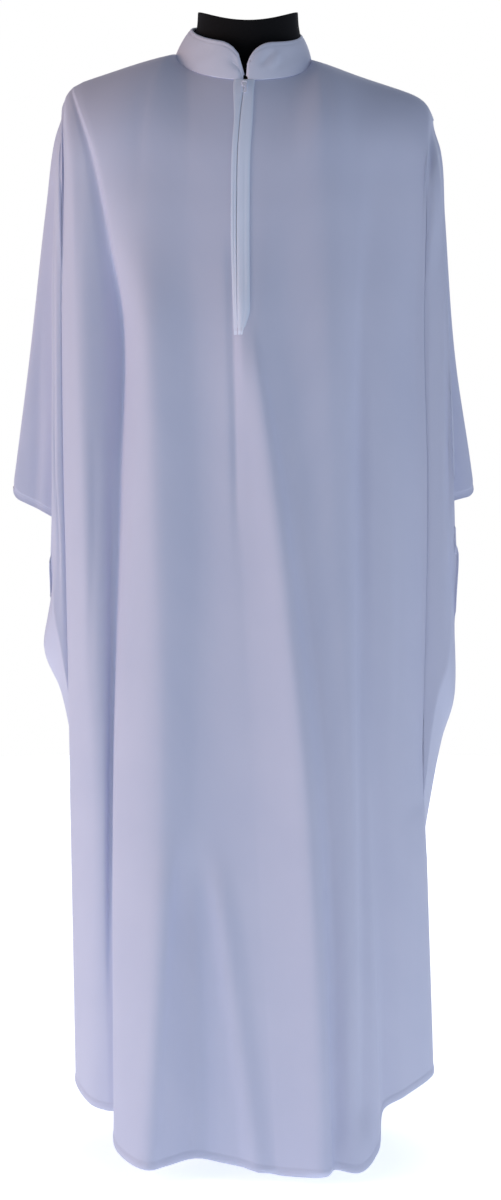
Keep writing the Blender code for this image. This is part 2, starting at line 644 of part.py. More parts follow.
def make_zip_strips(panel):
    """The stitched bands on the panel, the chain in the slit and the tape behind it."""
    for name, side in (("zip_band_right", -1), ("zip_band_left", 1)):
        offsets = []
        for row in range(BAND_ROWS + 1):
            wide = smooth_step(row / BAND_TAPER_ROWS)
            width = BAND_TOP_WIDTHS[side] + (BAND_WIDTHS[side] - BAND_TOP_WIDTHS[side]) * wide
            places = side * np.array((BAND_SPLIT, BAND_SPLIT + width / 2, BAND_SPLIT + width))
            offsets.append(np.sort(places))
        strip_wall(name, panel, offsets, BAND_ROWS, 0.5, BAND_OFF_PANEL,
                   BAND_OFF_PANEL + BAND_WALL, "cloth")
    chain = [np.array((-CHAIN_HALF_WIDTH, CHAIN_HALF_WIDTH))] * (SLIT_ROWS + 1)
    strip_wall("zip_chain", panel, chain, SLIT_ROWS, 0.9, -CHAIN_WALL, 0.0, "zip")
    tape = [np.array((-TAPE_HALF_WIDTH, -TAPE_HALF_WIDTH / 3, TAPE_HALF_WIDTH / 3,
                      TAPE_HALF_WIDTH))] * (BAND_ROWS + 1)
    back = -WALL - BAND_OFF_PANEL
    strip_wall("zip_tape", panel, tape, BAND_ROWS, 0.3, back - TAPE_WALL, back, "zip")


def zip_frame(panel):
    """Where the slider sits on the bands: a point and its across, up and outward directions."""
    top = strip(panel, [np.array((0.0,))] * 2, 1, 1.0, BAND_OFF_PANEL + BAND_WALL + SLIDER_LIFT)
    down = unit(top[1, 0] - top[0, 0])
    across_x = np.array((1.0, 0.0, 0.0))
    outward = unit(np.cross(down, across_x))
    up = np.cross(outward, across_x)
    place = top[0, 0] + down * SLIDER_DROP
    return place, across_x, up, outward


def extrude(outline, low, high, place, axes):
    """Prism: an outline in the plane of the first two axes, from low to high along the third."""
    first, second, third = axes
    outline = np.asarray(outline)
    flat = place + outline[:, :1] * first + outline[:, 1:2] * second
    points = np.vstack((flat + third * low, flat + third * high))
    count = len(outline)
    faces = [tuple(range(count))[::-1], tuple(range(count, 2 * count))]
    faces += [(k, (k + 1) % count, (k + 1) % count + count, k + count) for k in range(count)]
    if np.dot(np.cross(first, second), third) < 0:
        faces = [face[::-1] for face in faces]
    return points, faces


def circle(radius, sides, centre=(0.0, 0.0)):
    """Outline of a regular polygon round a centre."""
    turn = np.arange(sides) * 2 * math.pi / sides
    return np.stack((centre[0] + radius * np.cos(turn), centre[1] + radius * np.sin(turn)), axis=1)


def join(thing, other, operation):
    """Apply a Boolean with another object and delete that object."""
    change = thing.modifiers.new(operation.lower(), "BOOLEAN")
    change.operation = operation
    change.object = other
    graph = bpy.context.evaluated_depsgraph_get()
    graph.update()
    result = bpy.data.meshes.new_from_object(thing.evaluated_get(graph))
    thing.modifiers.clear()
    thing.data = result
    bpy.data.objects.remove(other, do_unlink=True)


def make_slider_and_pull(panel):
    """Slider with two posts and a pin, and the pull tab whose eye turns on that pin."""
    place, across_x, up, outward = zip_frame(panel)
    half_width, half_length = SLIDER_HALF_WIDTH, SLIDER_HALF_LENGTH
    shield = [(-half_width * 0.55, -half_length), (half_width * 0.55, -half_length),
              (half_width * 0.8, 0.0), (half_width, half_length * 0.55),
              (half_width * 0.7, half_length), (-half_width * 0.7, half_length),
              (-half_width, half_length * 0.55), (-half_width * 0.8, 0.0)]
    axes = (across_x, up, outward)
    slider = add_object("zip_slider", *extrude(shield, 0.0, SLIDER_THICK, place, axes), "slider")
    pin_centre = place + outward * (SLIDER_THICK + PIN_HEIGHT) + up * half_length * 0.3
    post = [(-PIN_RADIUS * 1.3, -PIN_HEIGHT - SLIDER_THICK / 2), (PIN_RADIUS * 1.3,
            -PIN_HEIGHT - SLIDER_THICK / 2), (PIN_RADIUS * 1.3, PIN_RADIUS),
            (-PIN_RADIUS * 1.3, PIN_RADIUS)]
    side_axes = (up, outward, across_x)
    for side in (-1, 1):
        middle = side * (PIN_HALF_LENGTH - POST_HALF_WIDTH)
        solid = extrude(post, middle - POST_HALF_WIDTH, middle + POST_HALF_WIDTH, pin_centre,
                        side_axes)
        join(slider, add_object("post", *solid, "slider"), "UNION")
    pin = extrude(circle(PIN_RADIUS, 10), -PIN_HALF_LENGTH + POST_HALF_WIDTH / 2,
                  PIN_HALF_LENGTH - POST_HALF_WIDTH / 2, pin_centre, side_axes)
    join(slider, add_object("pin", *pin, "slider"), "UNION")

    tip = circle(PULL_HALF_WIDTH, 2 * PULL_TIP_SEGMENTS)
    tip = tip[PULL_TIP_SEGMENTS:] - (0.0, PULL_LENGTH - PULL_HALF_WIDTH)
    root = -(EYE_RADIUS + EYE_HOLE_RADIUS) / 2      # half way into the eye's wall
    neck = [(PULL_HALF_WIDTH, -PULL_LENGTH + PULL_HALF_WIDTH), (EYE_HALF_WIDTH * 0.95, root),
            (-EYE_HALF_WIDTH * 0.95, root)]
    plate = extrude(np.vstack((tip, neck)), -PULL_THICK / 2, PULL_THICK / 2, pin_centre, axes)
    pull = add_object("zip_pull", *plate, "slider")
    eye = extrude(circle(EYE_RADIUS, 16), -EYE_HALF_WIDTH, EYE_HALF_WIDTH, pin_centre, side_axes)
    join(pull, add_object("eye", *eye, "slider"), "UNION")
    hole = extrude(circle(EYE_HOLE_RADIUS, 16), -EYE_HALF_WIDTH * 2, EYE_HALF_WIDTH * 2,
                   pin_centre, side_axes)
    join(pull, add_object("hole", *hole, "slider"), "DIFFERENCE")
    pull.data.transform(Matrix.Translation(-Vector(pin_centre)))
    pull.location = pin_centre                      # the pull's origin is on the pin it turns on


# ---------------------------------------------------------------- dress form and stand

def form_ring(number):
    """One ring of the form: a superellipse, deeper or shallower in front than behind."""
    z, half_width, front, back, power, lean = FORM_RINGS[number]
    turn = np.arange(FORM_SIDES) * 2 * math.pi / FORM_SIDES
    sine, cosine = np.sin(turn), np.cos(turn)
    x = np.sign(sine) * np.abs(sine) ** (2 / power) * half_width * MM
    y = -np.sign(cosine) * np.abs(cosine) ** (2 / power) * np.where(cosine > 0, front, back) * MM
    return np.stack((x, y, z * MM + FORM_LEAN * lean * x), axis=1)


def closed_stack(name, rings, kind, bottom, top):
    """Solid through a stack of rings, closed by a fan to a middle point at each end."""
    count = len(rings[0])
    points = np.vstack(list(rings) + [bottom[None], top[None]])
    faces = []
    for level in range(len(rings) - 1):
        for k in range(count):
            nxt = (k + 1) % count
            faces.append((level * count + k, level * count + nxt, (level + 1) * count + nxt,
                          (level + 1) * count + k))
    low, high = len(points) - 2, len(points) - 1
    start = (len(rings) - 1) * count
    for k in range(count):
        nxt = (k + 1) % count
        faces.append((nxt, k, low))
        faces.append((start + k, start + nxt, high))
    return add_object(name, points, faces, kind)


def make_form():
    """Torso and neck in one smooth solid; the neck's top dips in front and behind."""
    rings = [form_ring(number) for number in range(len(FORM_RINGS))]
    top = rings[-1]
    depth = np.abs(top[:, 1]) / np.abs(top[:, 1]).max()
    top[:, 2] -= NECK_TOP_DISH * depth ** 2
    middle = np.array((0.0, 0.0, top[:, 2].max() - NECK_TOP_DISH))
    bottom = np.array((0.0, 0.0, rings[0][0, 2]))
    closed_stack("form_torso", rings, "form", bottom, middle)


def turned(name, profile, kind):
    """Solid of revolution about Z through (radius, z) pairs, from the bottom to the top."""
    turn = np.arange(TURNED_SIDES) * 2 * math.pi / TURNED_SIDES
    rings = [np.stack((radius * np.cos(turn), radius * np.sin(turn), np.full_like(turn, z)), axis=1)
             for radius, z in profile]
    centre = np.array((0.0, 0.0, 1.0))
    closed_stack(name, rings, kind, centre * profile[0][1], centre * profile[-1][1])


def make_stand():
    """Round base plate with a rounded rim, and the pole that carries the torso."""
    turned("form_base", [(BASE_RADIUS - BASE_EDGE / 2, 0.0), (BASE_RADIUS, BASE_EDGE / 2),
                         (BASE_RADIUS, BASE_THICK - BASE_EDGE),
                         (BASE_RADIUS - BASE_EDGE, BASE_THICK)], "stand")
    torso_bottom = FORM_RINGS[0][0] * MM
    turned("form_pole", [(POLE_RADIUS, BASE_THICK + CONTACT_GAP),
                         (POLE_RADIUS, torso_bottom - CONTACT_GAP)], "stand")


clear_scene()
front_panel, back_panel = make_robe()
make_collar(front_panel["grid"], back_panel["grid"])
make_zip_strips(front_panel)
make_slider_and_pull(front_panel)
make_form()
make_stand()
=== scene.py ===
"""An alb robe on a limbless dress form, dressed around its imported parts.

A white crepe alb with wide hanging sleeves, a stand collar and a centre-front zip hangs on a black
jersey-covered dress form with a pole and a round base. Every cloth piece is a thin shell: a grid of
points worked out from its fold lines, with creases, seams and hems raised or sunk along the
surface's normals. Metres, +Z up, the front faces -Y; tables of folds and creases are in millimetres.
"""
import math

import bmesh
import bpy
import numpy as np
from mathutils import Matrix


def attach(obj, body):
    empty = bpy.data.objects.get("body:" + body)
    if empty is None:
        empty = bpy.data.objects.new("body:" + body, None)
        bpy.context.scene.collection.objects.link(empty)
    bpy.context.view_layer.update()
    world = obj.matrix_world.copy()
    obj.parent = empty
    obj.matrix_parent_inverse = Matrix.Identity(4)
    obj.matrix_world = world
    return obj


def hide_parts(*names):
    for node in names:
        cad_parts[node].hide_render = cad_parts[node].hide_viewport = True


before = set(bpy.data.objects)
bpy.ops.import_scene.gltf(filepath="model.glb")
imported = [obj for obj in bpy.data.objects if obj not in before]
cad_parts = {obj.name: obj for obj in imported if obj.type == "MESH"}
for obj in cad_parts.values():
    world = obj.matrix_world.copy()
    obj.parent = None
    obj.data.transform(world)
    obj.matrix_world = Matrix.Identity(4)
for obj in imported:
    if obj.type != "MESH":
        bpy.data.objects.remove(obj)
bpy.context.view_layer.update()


# ---- Studio ----
# A pale floor and white air. A warm soft light stands at the robe's right, cool ones low at its
# right and high at its left, and one behind. The camera stands 3.2 m in front at chest height.

CAMERA_PLACE = (0.0033, -3.2, 1.009)
CAMERA_AIM_Z = 0.724
CAMERA_FOCUS_SHARE = 2438 / 1200        # focal length over the frame's height
SENSOR_HEIGHT = 24.0
FLOOR_RADIUS, FLOOR_SIDES = 3.4, 96
# Columns: light, place, target, size, power in watts, colour.
LIGHTS = [
    ("warm_side_light", (-3.2, -0.9, 1.3), (0.0, 0.0, 2.1), 1.5, 38.0, (1.0, 0.62, 0.44)),
    ("low_side_light", (-2.5, -1.4, 0.2), (0.0, 0.0, 0.2), 1.2, 10.0, (0.26, 0.64, 1.0)),
    ("cool_side_light", (3.0, -1.1, 1.9), (0.0, 0.0, 2.1), 1.5, 10.5, (0.54, 0.72, 1.0)),
    ("back_light", (0.5, 3.2, 2.4), (0.0, 0.0, 0.9), 2.0, 40.0, (1.0, 0.97, 0.95)),
]


def add_object(name, data):
    """A new object in the scene, at the origin."""
    thing = bpy.data.objects.new(name, data)
    bpy.context.scene.collection.objects.link(thing)
    return thing


def mesh_object(name, points, faces, material):
    """A smoothly shaded object of points and faces."""
    mesh = bpy.data.meshes.new(name)
    mesh.from_pydata(points.reshape(-1, 3).tolist(), [], faces)
    mesh.shade_smooth()
    mesh.materials.append(material)
    return add_object(name, mesh)


def aim(thing, place, target):
    """Put a camera or light at a place, turned to look at a target."""
    thing.location = place
    way = np.subtract(target, place)
    level = math.hypot(way[0], way[1])
    thing.rotation_euler = (math.pi / 2 + math.atan2(way[2], level), 0.0,
                            math.atan2(way[1], way[0]) - math.pi / 2)


def add_camera():
    """The camera, with its focal length given as a share of the frame's height."""
    data = bpy.data.cameras.new("camera")
    data.sensor_fit = "VERTICAL"
    data.sensor_height = SENSOR_HEIGHT
    data.lens = CAMERA_FOCUS_SHARE * SENSOR_HEIGHT
    data.clip_end = 60.0
    camera = add_object("camera", data)
    aim(camera, CAMERA_PLACE, (CAMERA_PLACE[0], 0.0, CAMERA_AIM_Z))
    bpy.context.scene.camera = camera


def add_soft_light(name, place, target, size, power, colour):
    """A large square light."""
    data = bpy.data.lights.new(name, "AREA")
    data.shape, data.size = "SQUARE", size
    data.energy, data.color = power, colour
    aim(add_object(name, data), place, target)


def set_inputs(tree, node, inputs):
    """Give each input of a node its value, or join it to the output given."""
    for key, value in inputs.items():
        if isinstance(value, bpy.types.NodeSocket):
            tree.links.new(value, node.inputs[key])
        else:
            node.inputs[key].default_value = value


def add_node(tree, kind, output, inputs=None, **settings):
    """A new node with its settings and inputs. Returns the output of that name."""
    node = tree.nodes.new("ShaderNode" + kind)
    for key, value in settings.items():
        setattr(node, key, value)
    set_inputs(tree, node, inputs or {})
    return node.outputs[output]


def new_material(name, colour, roughness, inputs=None):
    """A Principled material with its shader's inputs set. Returns it, its tree and its shader."""
    material = bpy.data.materials.new(name)
    material.use_nodes = True
    tree = material.node_tree
    shader = tree.nodes["Principled BSDF"]
    set_inputs(tree, shader, {"Base Color": (*colour, 1.0), "Roughness": roughness, **(inputs or {})})
    return material, tree, shader


def add_floor():
    """A round floor of pale paper, lit a little from within so that it stays white."""
    turn = np.linspace(0, 2 * math.pi, FLOOR_SIDES + 1)[:-1]
    points = FLOOR_RADIUS * np.stack((np.cos(turn), np.sin(turn), 0 * turn), axis=1)
    paper = new_material("floor_paper", (0.93, 0.93, 0.95), 0.9, {
        "Emission Color": (0.88, 0.93, 1.0, 1.0), "Emission Strength": 0.82})[0]
    mesh_object("floor", points, [list(range(FLOOR_SIDES))], paper)


def add_studio_air():
    """White surroundings, dimmer as light than they look."""
    world = bpy.data.worlds.new("studio")
    world.use_nodes = True
    bpy.context.scene.world = world
    tree = world.node_tree
    seen = tree.nodes["Background"]
    set_inputs(tree, seen, {"Color": (1.0, 1.0, 1.0, 1.0), "Strength": 1.0})
    lighting = add_node(tree, "Background", "Background",
                        {"Color": (0.84, 0.89, 1.0, 1.0), "Strength": 0.265})
    looked_at = add_node(tree, "LightPath", "Is Camera Ray")
    air = add_node(tree, "MixShader", "Shader", {"Fac": looked_at, 1: lighting, 2: seen.outputs[0]})
    set_inputs(tree, tree.nodes["World Output"], {"Surface": air})


add_camera()
add_floor()
add_studio_air()
for light in LIGHTS:
    add_soft_light(*light)
bpy.context.scene.view_settings.view_transform = "Standard"


# ---- Stand: base plate and pole ----
# A round weighted plate of dark satin-painted steel with a rounded rim, a tapered socket welded on
# it, and a steel pole that stands in the socket and carries the torso.

MM = 0.001
ROBE = "robe_on_form"
BASE_RADIUS, BASE_THICK, BASE_EDGE = 105 * MM, 14 * MM, 3 * MM
POLE_RADIUS, SOCKET_HEIGHT, TORSO_BOTTOM = 16 * MM, 42 * MM, 766 * MM
TURNED_SIDES, CORNER_POINTS = 96, 7


def stand_for(piece, node, body=ROBE):
    """Let a piece ride on its body in place of a solid, and hide that solid."""
    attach(piece, body)
    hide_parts(node)
    return piece


def surface(name, grid, material, uv=None, flip=False, skip=None, weld=0.0):
    """Mesh object from a grid of points, one quad for each cell; skip marks cells left open.

    Quad (i, j) joins the points (i, j), (i, j+1), (i+1, j+1) and (i+1, j). flip turns the faces'
    front over. Points closer than weld become one, and points of no face are taken out.
    """
    rows, columns = grid.shape[:2]
    index = np.arange(rows * columns).reshape(rows, columns)
    quads = np.stack((index[:-1, :-1], index[:-1, 1:], index[1:, 1:], index[1:, :-1]), axis=-1)
    quads = quads.reshape(-1, 4) if skip is None else quads[~skip]
    if flip:
        quads = quads[:, ::-1]
    piece = mesh_object(name, grid, quads.tolist(), material)
    if uv is not None:
        layer = piece.data.uv_layers.new(name="weave")
        layer.data.foreach_set("uv", uv.reshape(-1, 2)[quads.ravel()].ravel())
    work = bmesh.new()
    work.from_mesh(piece.data)
    if weld:
        bmesh.ops.remove_doubles(work, verts=work.verts, dist=weld)
        bmesh.ops.dissolve_degenerate(work, edges=work.edges, dist=weld)
    loose = [point for point in work.verts if not point.link_faces]
    bmesh.ops.delete(work, geom=loose, context="VERTS")
    work.to_mesh(piece.data)
    work.free()
    return piece


def turned(name, profile, material):
    """Solid of revolution: (radius, z) pairs from the bottom's middle to the top's middle."""
    radius, height = np.array(profile).T[..., None]
    turn = np.linspace(0, 2 * math.pi, TURNED_SIDES + 1)
    grid = np.stack((radius * np.cos(turn), radius * np.sin(turn), height + 0 * turn), axis=-1)
    return surface(name, grid, material, weld=1e-6)


def rounded(corner, radius, start):
    """Quarter circle of (radius, z) pairs about a corner's centre, from an angle in degrees."""
    turn = np.radians(np.linspace(start, start + 90, CORNER_POINTS))
    return np.stack((corner[0] + radius * np.cos(turn), corner[1] + radius * np.sin(turn)), axis=1)


def spread(tree, value, low, high):
    """A value from 0 to 1 spread over a range."""
    return add_node(tree, "MapRange", "Result", {"Value": value, "To Min": low, "To Max": high})


def bump(tree, height, strength, distance):
    """Normals of a surface raised by a height."""
    return add_node(tree, "Bump", "Normal",
                    {"Height": height, "Strength": strength, "Distance": distance})


def noise_on(tree, scale, detail=2.0):
    """A fine noise on the object's own coordinates."""
    place = add_node(tree, "TexCoord", "Object")
    return add_node(tree, "TexNoise", "Fac", {"Vector": place, "Scale": scale, "Detail": detail})


def dark_steel():
    """Satin paint on steel: a faint mottle in its roughness and a fine orange-peel bump."""
    material, tree, shader = new_material("stand_paint", (0.045, 0.045, 0.05), 0.35,
                                          {"Metallic": 0.6})
    set_inputs(tree, shader, {"Roughness": spread(tree, noise_on(tree, 55.0, 4.0), 0.28, 0.50),
                              "Normal": bump(tree, noise_on(tree, 900.0), 0.12, 0.0004)})
    return material


steel = dark_steel()
inner_edge = BASE_RADIUS - BASE_EDGE
stand_for(turned("base_plate", np.vstack((
    [(0.0, 0.0), (inner_edge, 0.0)],
    rounded((inner_edge, BASE_EDGE), BASE_EDGE, -90),
    rounded((inner_edge, BASE_THICK - BASE_EDGE), BASE_EDGE, 0),
    [(POLE_RADIUS * 2, BASE_THICK), (0.0, BASE_THICK)])), steel), "form_base")

socket_top, pole_top = BASE_THICK + SOCKET_HEIGHT, TORSO_BOTTOM - 1 * MM
pole = turned("pole", [
    (0.0, BASE_THICK), (POLE_RADIUS * 1.7, BASE_THICK), (POLE_RADIUS * 1.7, BASE_THICK + 4 * MM),
    (POLE_RADIUS * 1.25, BASE_THICK + 12 * MM), (POLE_RADIUS * 1.25, socket_top),
    (POLE_RADIUS, socket_top + 1 * MM), (POLE_RADIUS, TORSO_BOTTOM - 30 * MM),
    (POLE_RADIUS * 1.3, TORSO_BOTTOM - 28 * MM), (POLE_RADIUS * 1.3, pole_top), (0.0, pole_top)],
    steel)
pole.data.set_sharp_from_angle(angle=math.radians(30))
stand_for(pole, "form_pole")


# ---- Dress form ----
# A limbless torso and neck, moulded hollow in the real thing and covered tightly with black cotton
# jersey. It stands on the pole, and the robe rests on its shoulders.

FORM_LEAN = -0.05               # rise of the shoulders per metre towards +X
# Rings. Columns: z, half width, depth to the front, to the back, power of the superellipse, lean.
FORM_RINGS = np.array([
    (766, 132, 84, 90, 2.3, 0.0), (772, 144, 92, 98, 2.3, 0.0), (789, 151, 98, 105, 2.3, 0.0),
    (854, 154, 101, 110, 2.3, 0.0), (944, 147, 98, 100, 2.3, 0.0), (1034, 141, 98, 92, 2.3, 0.0),
    (1134, 148, 105, 98, 2.3, 0.2), (1224, 163, 107, 104, 2.3, 0.5), (1294, 180, 98, 104, 2.3, 0.9),
    (1339, 190, 80, 90, 2.2, 1.0), (1366, 193, 62, 70, 2.1, 1.0), (1385, 181, 46, 52, 1.9, 1.0),
    (1396, 153, 45, 50, 1.7, 1.0), (1406, 119, 46, 50, 1.5, 0.9), (1416, 94, 47, 52, 1.5, 0.6),
    (1428, 79, 53, 57, 1.7, 0.3), (1444, 71, 59, 60, 2.0, 0.0), (1465, 66, 60, 60, 2.0, 0.0),
    (1484, 64.5, 60, 60, 2.0, 0.0)])
NECK_TOP_DISH, LID_SAG, LID_ROWS = 17 * MM, 3 * MM, 8
FORM_LEVELS, FORM_SIDES = 160, 144


def cubic(share, start, end, start_slope, end_slope):
    """The cubic from start to end with given slopes there, read at a share of the way."""
    two, three = share ** 2, share ** 3
    return ((2 * three - 3 * two + 1) * start + (three - 2 * two + share) * start_slope
            + (3 * two - 2 * three) * end + (three - two) * end_slope)


def curve_at(knots, values, places):
    """Smooth curve through (knots, values) read at places, flat where it starts.

    A cubic between each two knots; the slope at an inner knot is the mean of its neighbours'
    slopes, the nearer one counting more, and the last slope is the last straight one.
    """
    gaps = np.diff(knots)[:, None]
    rises = np.diff(values, axis=0) / gaps
    inner = (rises[:-1] * gaps[1:] + rises[1:] * gaps[:-1]) / (gaps[1:] + gaps[:-1])
    slopes = np.concatenate((rises[:1] * 0, inner, rises[-1:]))
    piece = np.clip(np.searchsorted(knots, places, side="right") - 1, 0, len(gaps) - 1)
    share = (places - knots[piece])[:, None] / gaps[piece]
    return cubic(share, values[piece], values[piece + 1],
                 slopes[piece] * gaps[piece], slopes[piece + 1] * gaps[piece])


def signed_power(values, power):
    """Each value's size to a power, with its sign kept."""
    return np.sign(values) * np.abs(values) ** power


def smooth_step(share):
    """0 below 0, 1 above 1 and a soft S between."""
    share = np.clip(share, 0.0, 1.0)
    return share * share * (3.0 - 2.0 * share)


def torso_grid():
    """Superellipse rings, each number carried smoothly from ring to ring, closed at both ends."""
    places = np.linspace(0, len(FORM_RINGS) - 1, FORM_LEVELS)
    rings = curve_at(np.arange(len(FORM_RINGS)), FORM_RINGS, places)
    z, half, ahead, behind, power, lean = rings.T[..., None]
    turn = np.linspace(0, 2 * math.pi, FORM_SIDES + 1)
    x = signed_power(np.sin(turn), 2 / power) * half * MM
    y = -signed_power(np.cos(turn), 2 / power) * np.where(np.cos(turn) > 0, ahead, behind) * MM
    near_top = smooth_step((places - len(FORM_RINGS) + 2.5) / 1.5)[:, None]
    height = z * MM + FORM_LEAN * lean * x - NECK_TOP_DISH * near_top * (np.abs(y) / (60 * MM)) ** 2
    side = np.stack((x, y, height), axis=-1)
    bottom, top = side[0], side[-1]
    low = np.array((0.0, 0.0, bottom[0, 2]))
    high = np.array((0.0, 0.0, top[:, 2].max() - NECK_TOP_DISH))
    inward = np.linspace(0, 1, LID_ROWS + 1)[1:, None, None]
    lid = top + (high - top) * inward
    lid[..., 2] -= LID_SAG * np.sin(inward[..., 0] * math.pi / 2) * (1 - inward[..., 0])
    under = bottom + (low - bottom) * inward
    return np.concatenate((under[::-1], side, lid))


def black_jersey():
    """Black knit: fine wales across the height, a soft nap at grazing angles."""
    material, tree, shader = new_material("black_jersey", (0.006, 0.006, 0.007), 0.9, {
        "Sheen Weight": 0.12, "Sheen Roughness": 0.5, "Sheen Tint": (0.5, 0.5, 0.55, 1.0),
        "Specular IOR Level": 0.15})
    place = add_node(tree, "TexCoord", "Object")
    wales = add_node(tree, "TexWave", "Fac", {"Vector": place, "Scale": 260.0, "Distortion": 1.5})
    knit = add_node(tree, "Mix", "Result", {"Factor": 0.5, "A": wales, "B": noise_on(tree, 700.0)})
    set_inputs(tree, shader, {"Normal": bump(tree, knit, 0.3, 0.0005)})
    return material


stand_for(surface("torso_cover", torso_grid(), black_jersey(), weld=1e-6),
          "form_torso")


# ---- Robe body: front and back panels ----
# Two panels of white polyester crepe, cut from the shoulder to the hem and sewn at the shoulders
# and sides. The front has a slit for the zip. Both fall in deep soft folds from the shoulders.

YOKE_Z, CHEST_Z, ELBOW_Z, THIGH_Z = 1264 * MM, 1084 * MM, 884 * MM, 504 * MM
# Places down the cloth are counted in bands: 0 at the shoulder, 7 at the yoke, 31 at the hem.
YOKE_BAND, HEM_BAND = 7, 31
HEAD_BAND = 4                   # a sleeve's head is sewn to the bands above this one
CLOSING_BANDS = 1.5             # the armhole closes over this many bands above the underarm point
SLIT_BAND = 10                  # the zip's slit ends here
NECK_HALF_WIDTH, NECK_FRONT, NECK_BACK = 91 * MM, 87 * MM, 74 * MM
NECK_SIDE_Z, NECK_FRONT_DROP, NECK_BACK_RISE = 1430 * MM, 42 * MM, 16 * MM
SHOULDER_TIP_X = {-1: 239 * MM, 1: 240 * MM}
SHOULDER_END_Z = {-1: 1388 * MM, 1: 1371 * MM}
NECK_LEAN, NECK_FALL = 11 * MM, 7 * MM   # the +X side of the neckline sits closer in and lower
TIP_DROP, TIP_ROUND_POWER = 24 * MM, 18
ARMHOLE_HALF_WIDTH = {-1: 54 * MM, 1: 56 * MM}
CENTRE_ROLL = 0.4
CLOTH_THICK = 1.1 * MM
SEAM_GAP = 0.3 * MM

# Columns: side, band of the underarm point, x at yoke, chest, elbow, thigh and hem, z of the hem.
SEAMS = {-1: (23, -238, -238, -237, -224, -219, 92), 1: (25, 228, 226, 231, 228, 240, 101)}

# Columns: fold line, quads to the next line, seat along the shoulder and neckline, then x and y
# at yoke, chest, elbow, thigh and hem, z of the hem.
FRONT_FOLDS = [
    ("side edge", 9, -0.985, -236, -52, -236, -57, -235, -60, -231, -55, -227, -42, 88),
    ("side crest", 6, -0.982, -221, -84, -215, -88, -210, -94, -200, -104, -203, -90, 71),
    ("side hollow", 7, -0.970, -200, -91, -186, -87, -187, -93, -185, -109, -183, -104, 68),
    ("tuck", 9, -0.960, -184, -92, -160, -74, -164, -83, -174, -103, -171, -110, 67),
    ("lobe edge", 10, -0.950, -177, -103, -153, -105, -155, -109, -168, -125, -170, -142, 31),
    ("lobe crest", 13, -0.500, -138, -115, -126, -142, -119, -149, -112, -168, -128, -188, 18),
    ("long hollow", 11, -0.330, -72, -122, -66, -136, -60, -141, -62, -158, -66, -172, 24),
    ("slit, -X edge", 3, -0.021, -18, -125, -15, -146, -17, -146, 4, -163, 34, -182, 9),
    ("slit, +X edge", 8, 0.000, -12, -125, -9, -147, -10, -147, 14, -165, 43, -185, 8),
    ("middle edge", 9, 0.060, 14, -125, 10, -149, 36, -160, 83, -180, 98, -197, 11),
    ("middle tuck", 10, 0.170, 52, -124, 46, -139, 63, -147, 100, -167, 109, -184, 15),
    ("second crest", 8, 0.500, 104, -117, 104, -137, 109, -143, 130, -162, 142, -180, 10),
    ("far edge", 7, 0.740, 137, -98, 131, -117, 137, -122, 150, -138, 165, -151, 27),
    ("far tuck", 8, 0.850, 154, -85, 146, -102, 151, -108, 162, -119, 172, -123, 72),
    ("far side crest", 9, 0.925, 187, -71, 178, -84, 182, -91, 190, -101, 203, -99, 85),
    ("far side edge", 10, 0.975, 221, -57, 212, -60, 219, -61, 228, -55, 244, -42, 98),
]
BACK_FOLDS = [
    ("side edge", 9, -0.975, -239, 45, -237, 55, -236, 60, -231, 56, -226, 44, 88),
    ("side crest", 8, -0.940, -221, 78, -215, 89, -212, 95, -208, 107, -203, 104, 72),
    ("side hollow", 11, -0.890, -190, 94, -178, 94, -172, 88, -172, 102, -173, 112, 66),
    ("lobe crest", 13, -0.500, -140, 118, -131, 132, -128, 140, -128, 160, -129, 178, 42),
    ("hollow", 13, -0.300, -70, 124, -66, 134, -63, 133, -60, 145, -57, 157, 38),
    ("middle crest", 13, 0.030, 2, 127, 5, 140, 8, 149, 11, 168, 13, 187, 28),
    ("far hollow", 13, 0.300, 68, 124, 67, 134, 69, 133, 74, 145, 79, 158, 39),
    ("far lobe crest", 11, 0.500, 137, 116, 131, 130, 134, 138, 140, 157, 146, 175, 44),
    ("far side hollow", 8, 0.870, 188, 90, 178, 90, 175, 86, 180, 100, 188, 110, 70),
    ("far side crest", 8, 0.930, 212, 74, 203, 86, 208, 94, 214, 105, 220, 103, 82),
    ("far side edge", 10, 0.970, 223, 45, 212, 55, 221, 60, 228, 56, 242, 44, 96),
]
SEAM_QUADS = 10                 # from the side seam to the first fold line
SLIT_LINE = 8                   # number of the gap between lines that the slit takes up
PANEL_ROWS, HEM_ROWS = 288, 16
HEM_TURN, HEM_STEP, HEM_STITCH_LINE = 9 * MM, 0.9 * MM, 7.5 * MM
STITCH_PITCH, STITCH_SHARE, STITCH_RADIUS = 2.8 * MM, 0.66, 0.2 * MM
BACK_PRESSING = 2.4             # the back's creases are pressed so many times as deep
BOW = 13.5                      # gives a bow its full size at a third or two thirds of the way
EASE_ROWS, EASE_TIMES, EASE_BANDS, EASE_COLUMNS = 25, 4, 1.6, 8

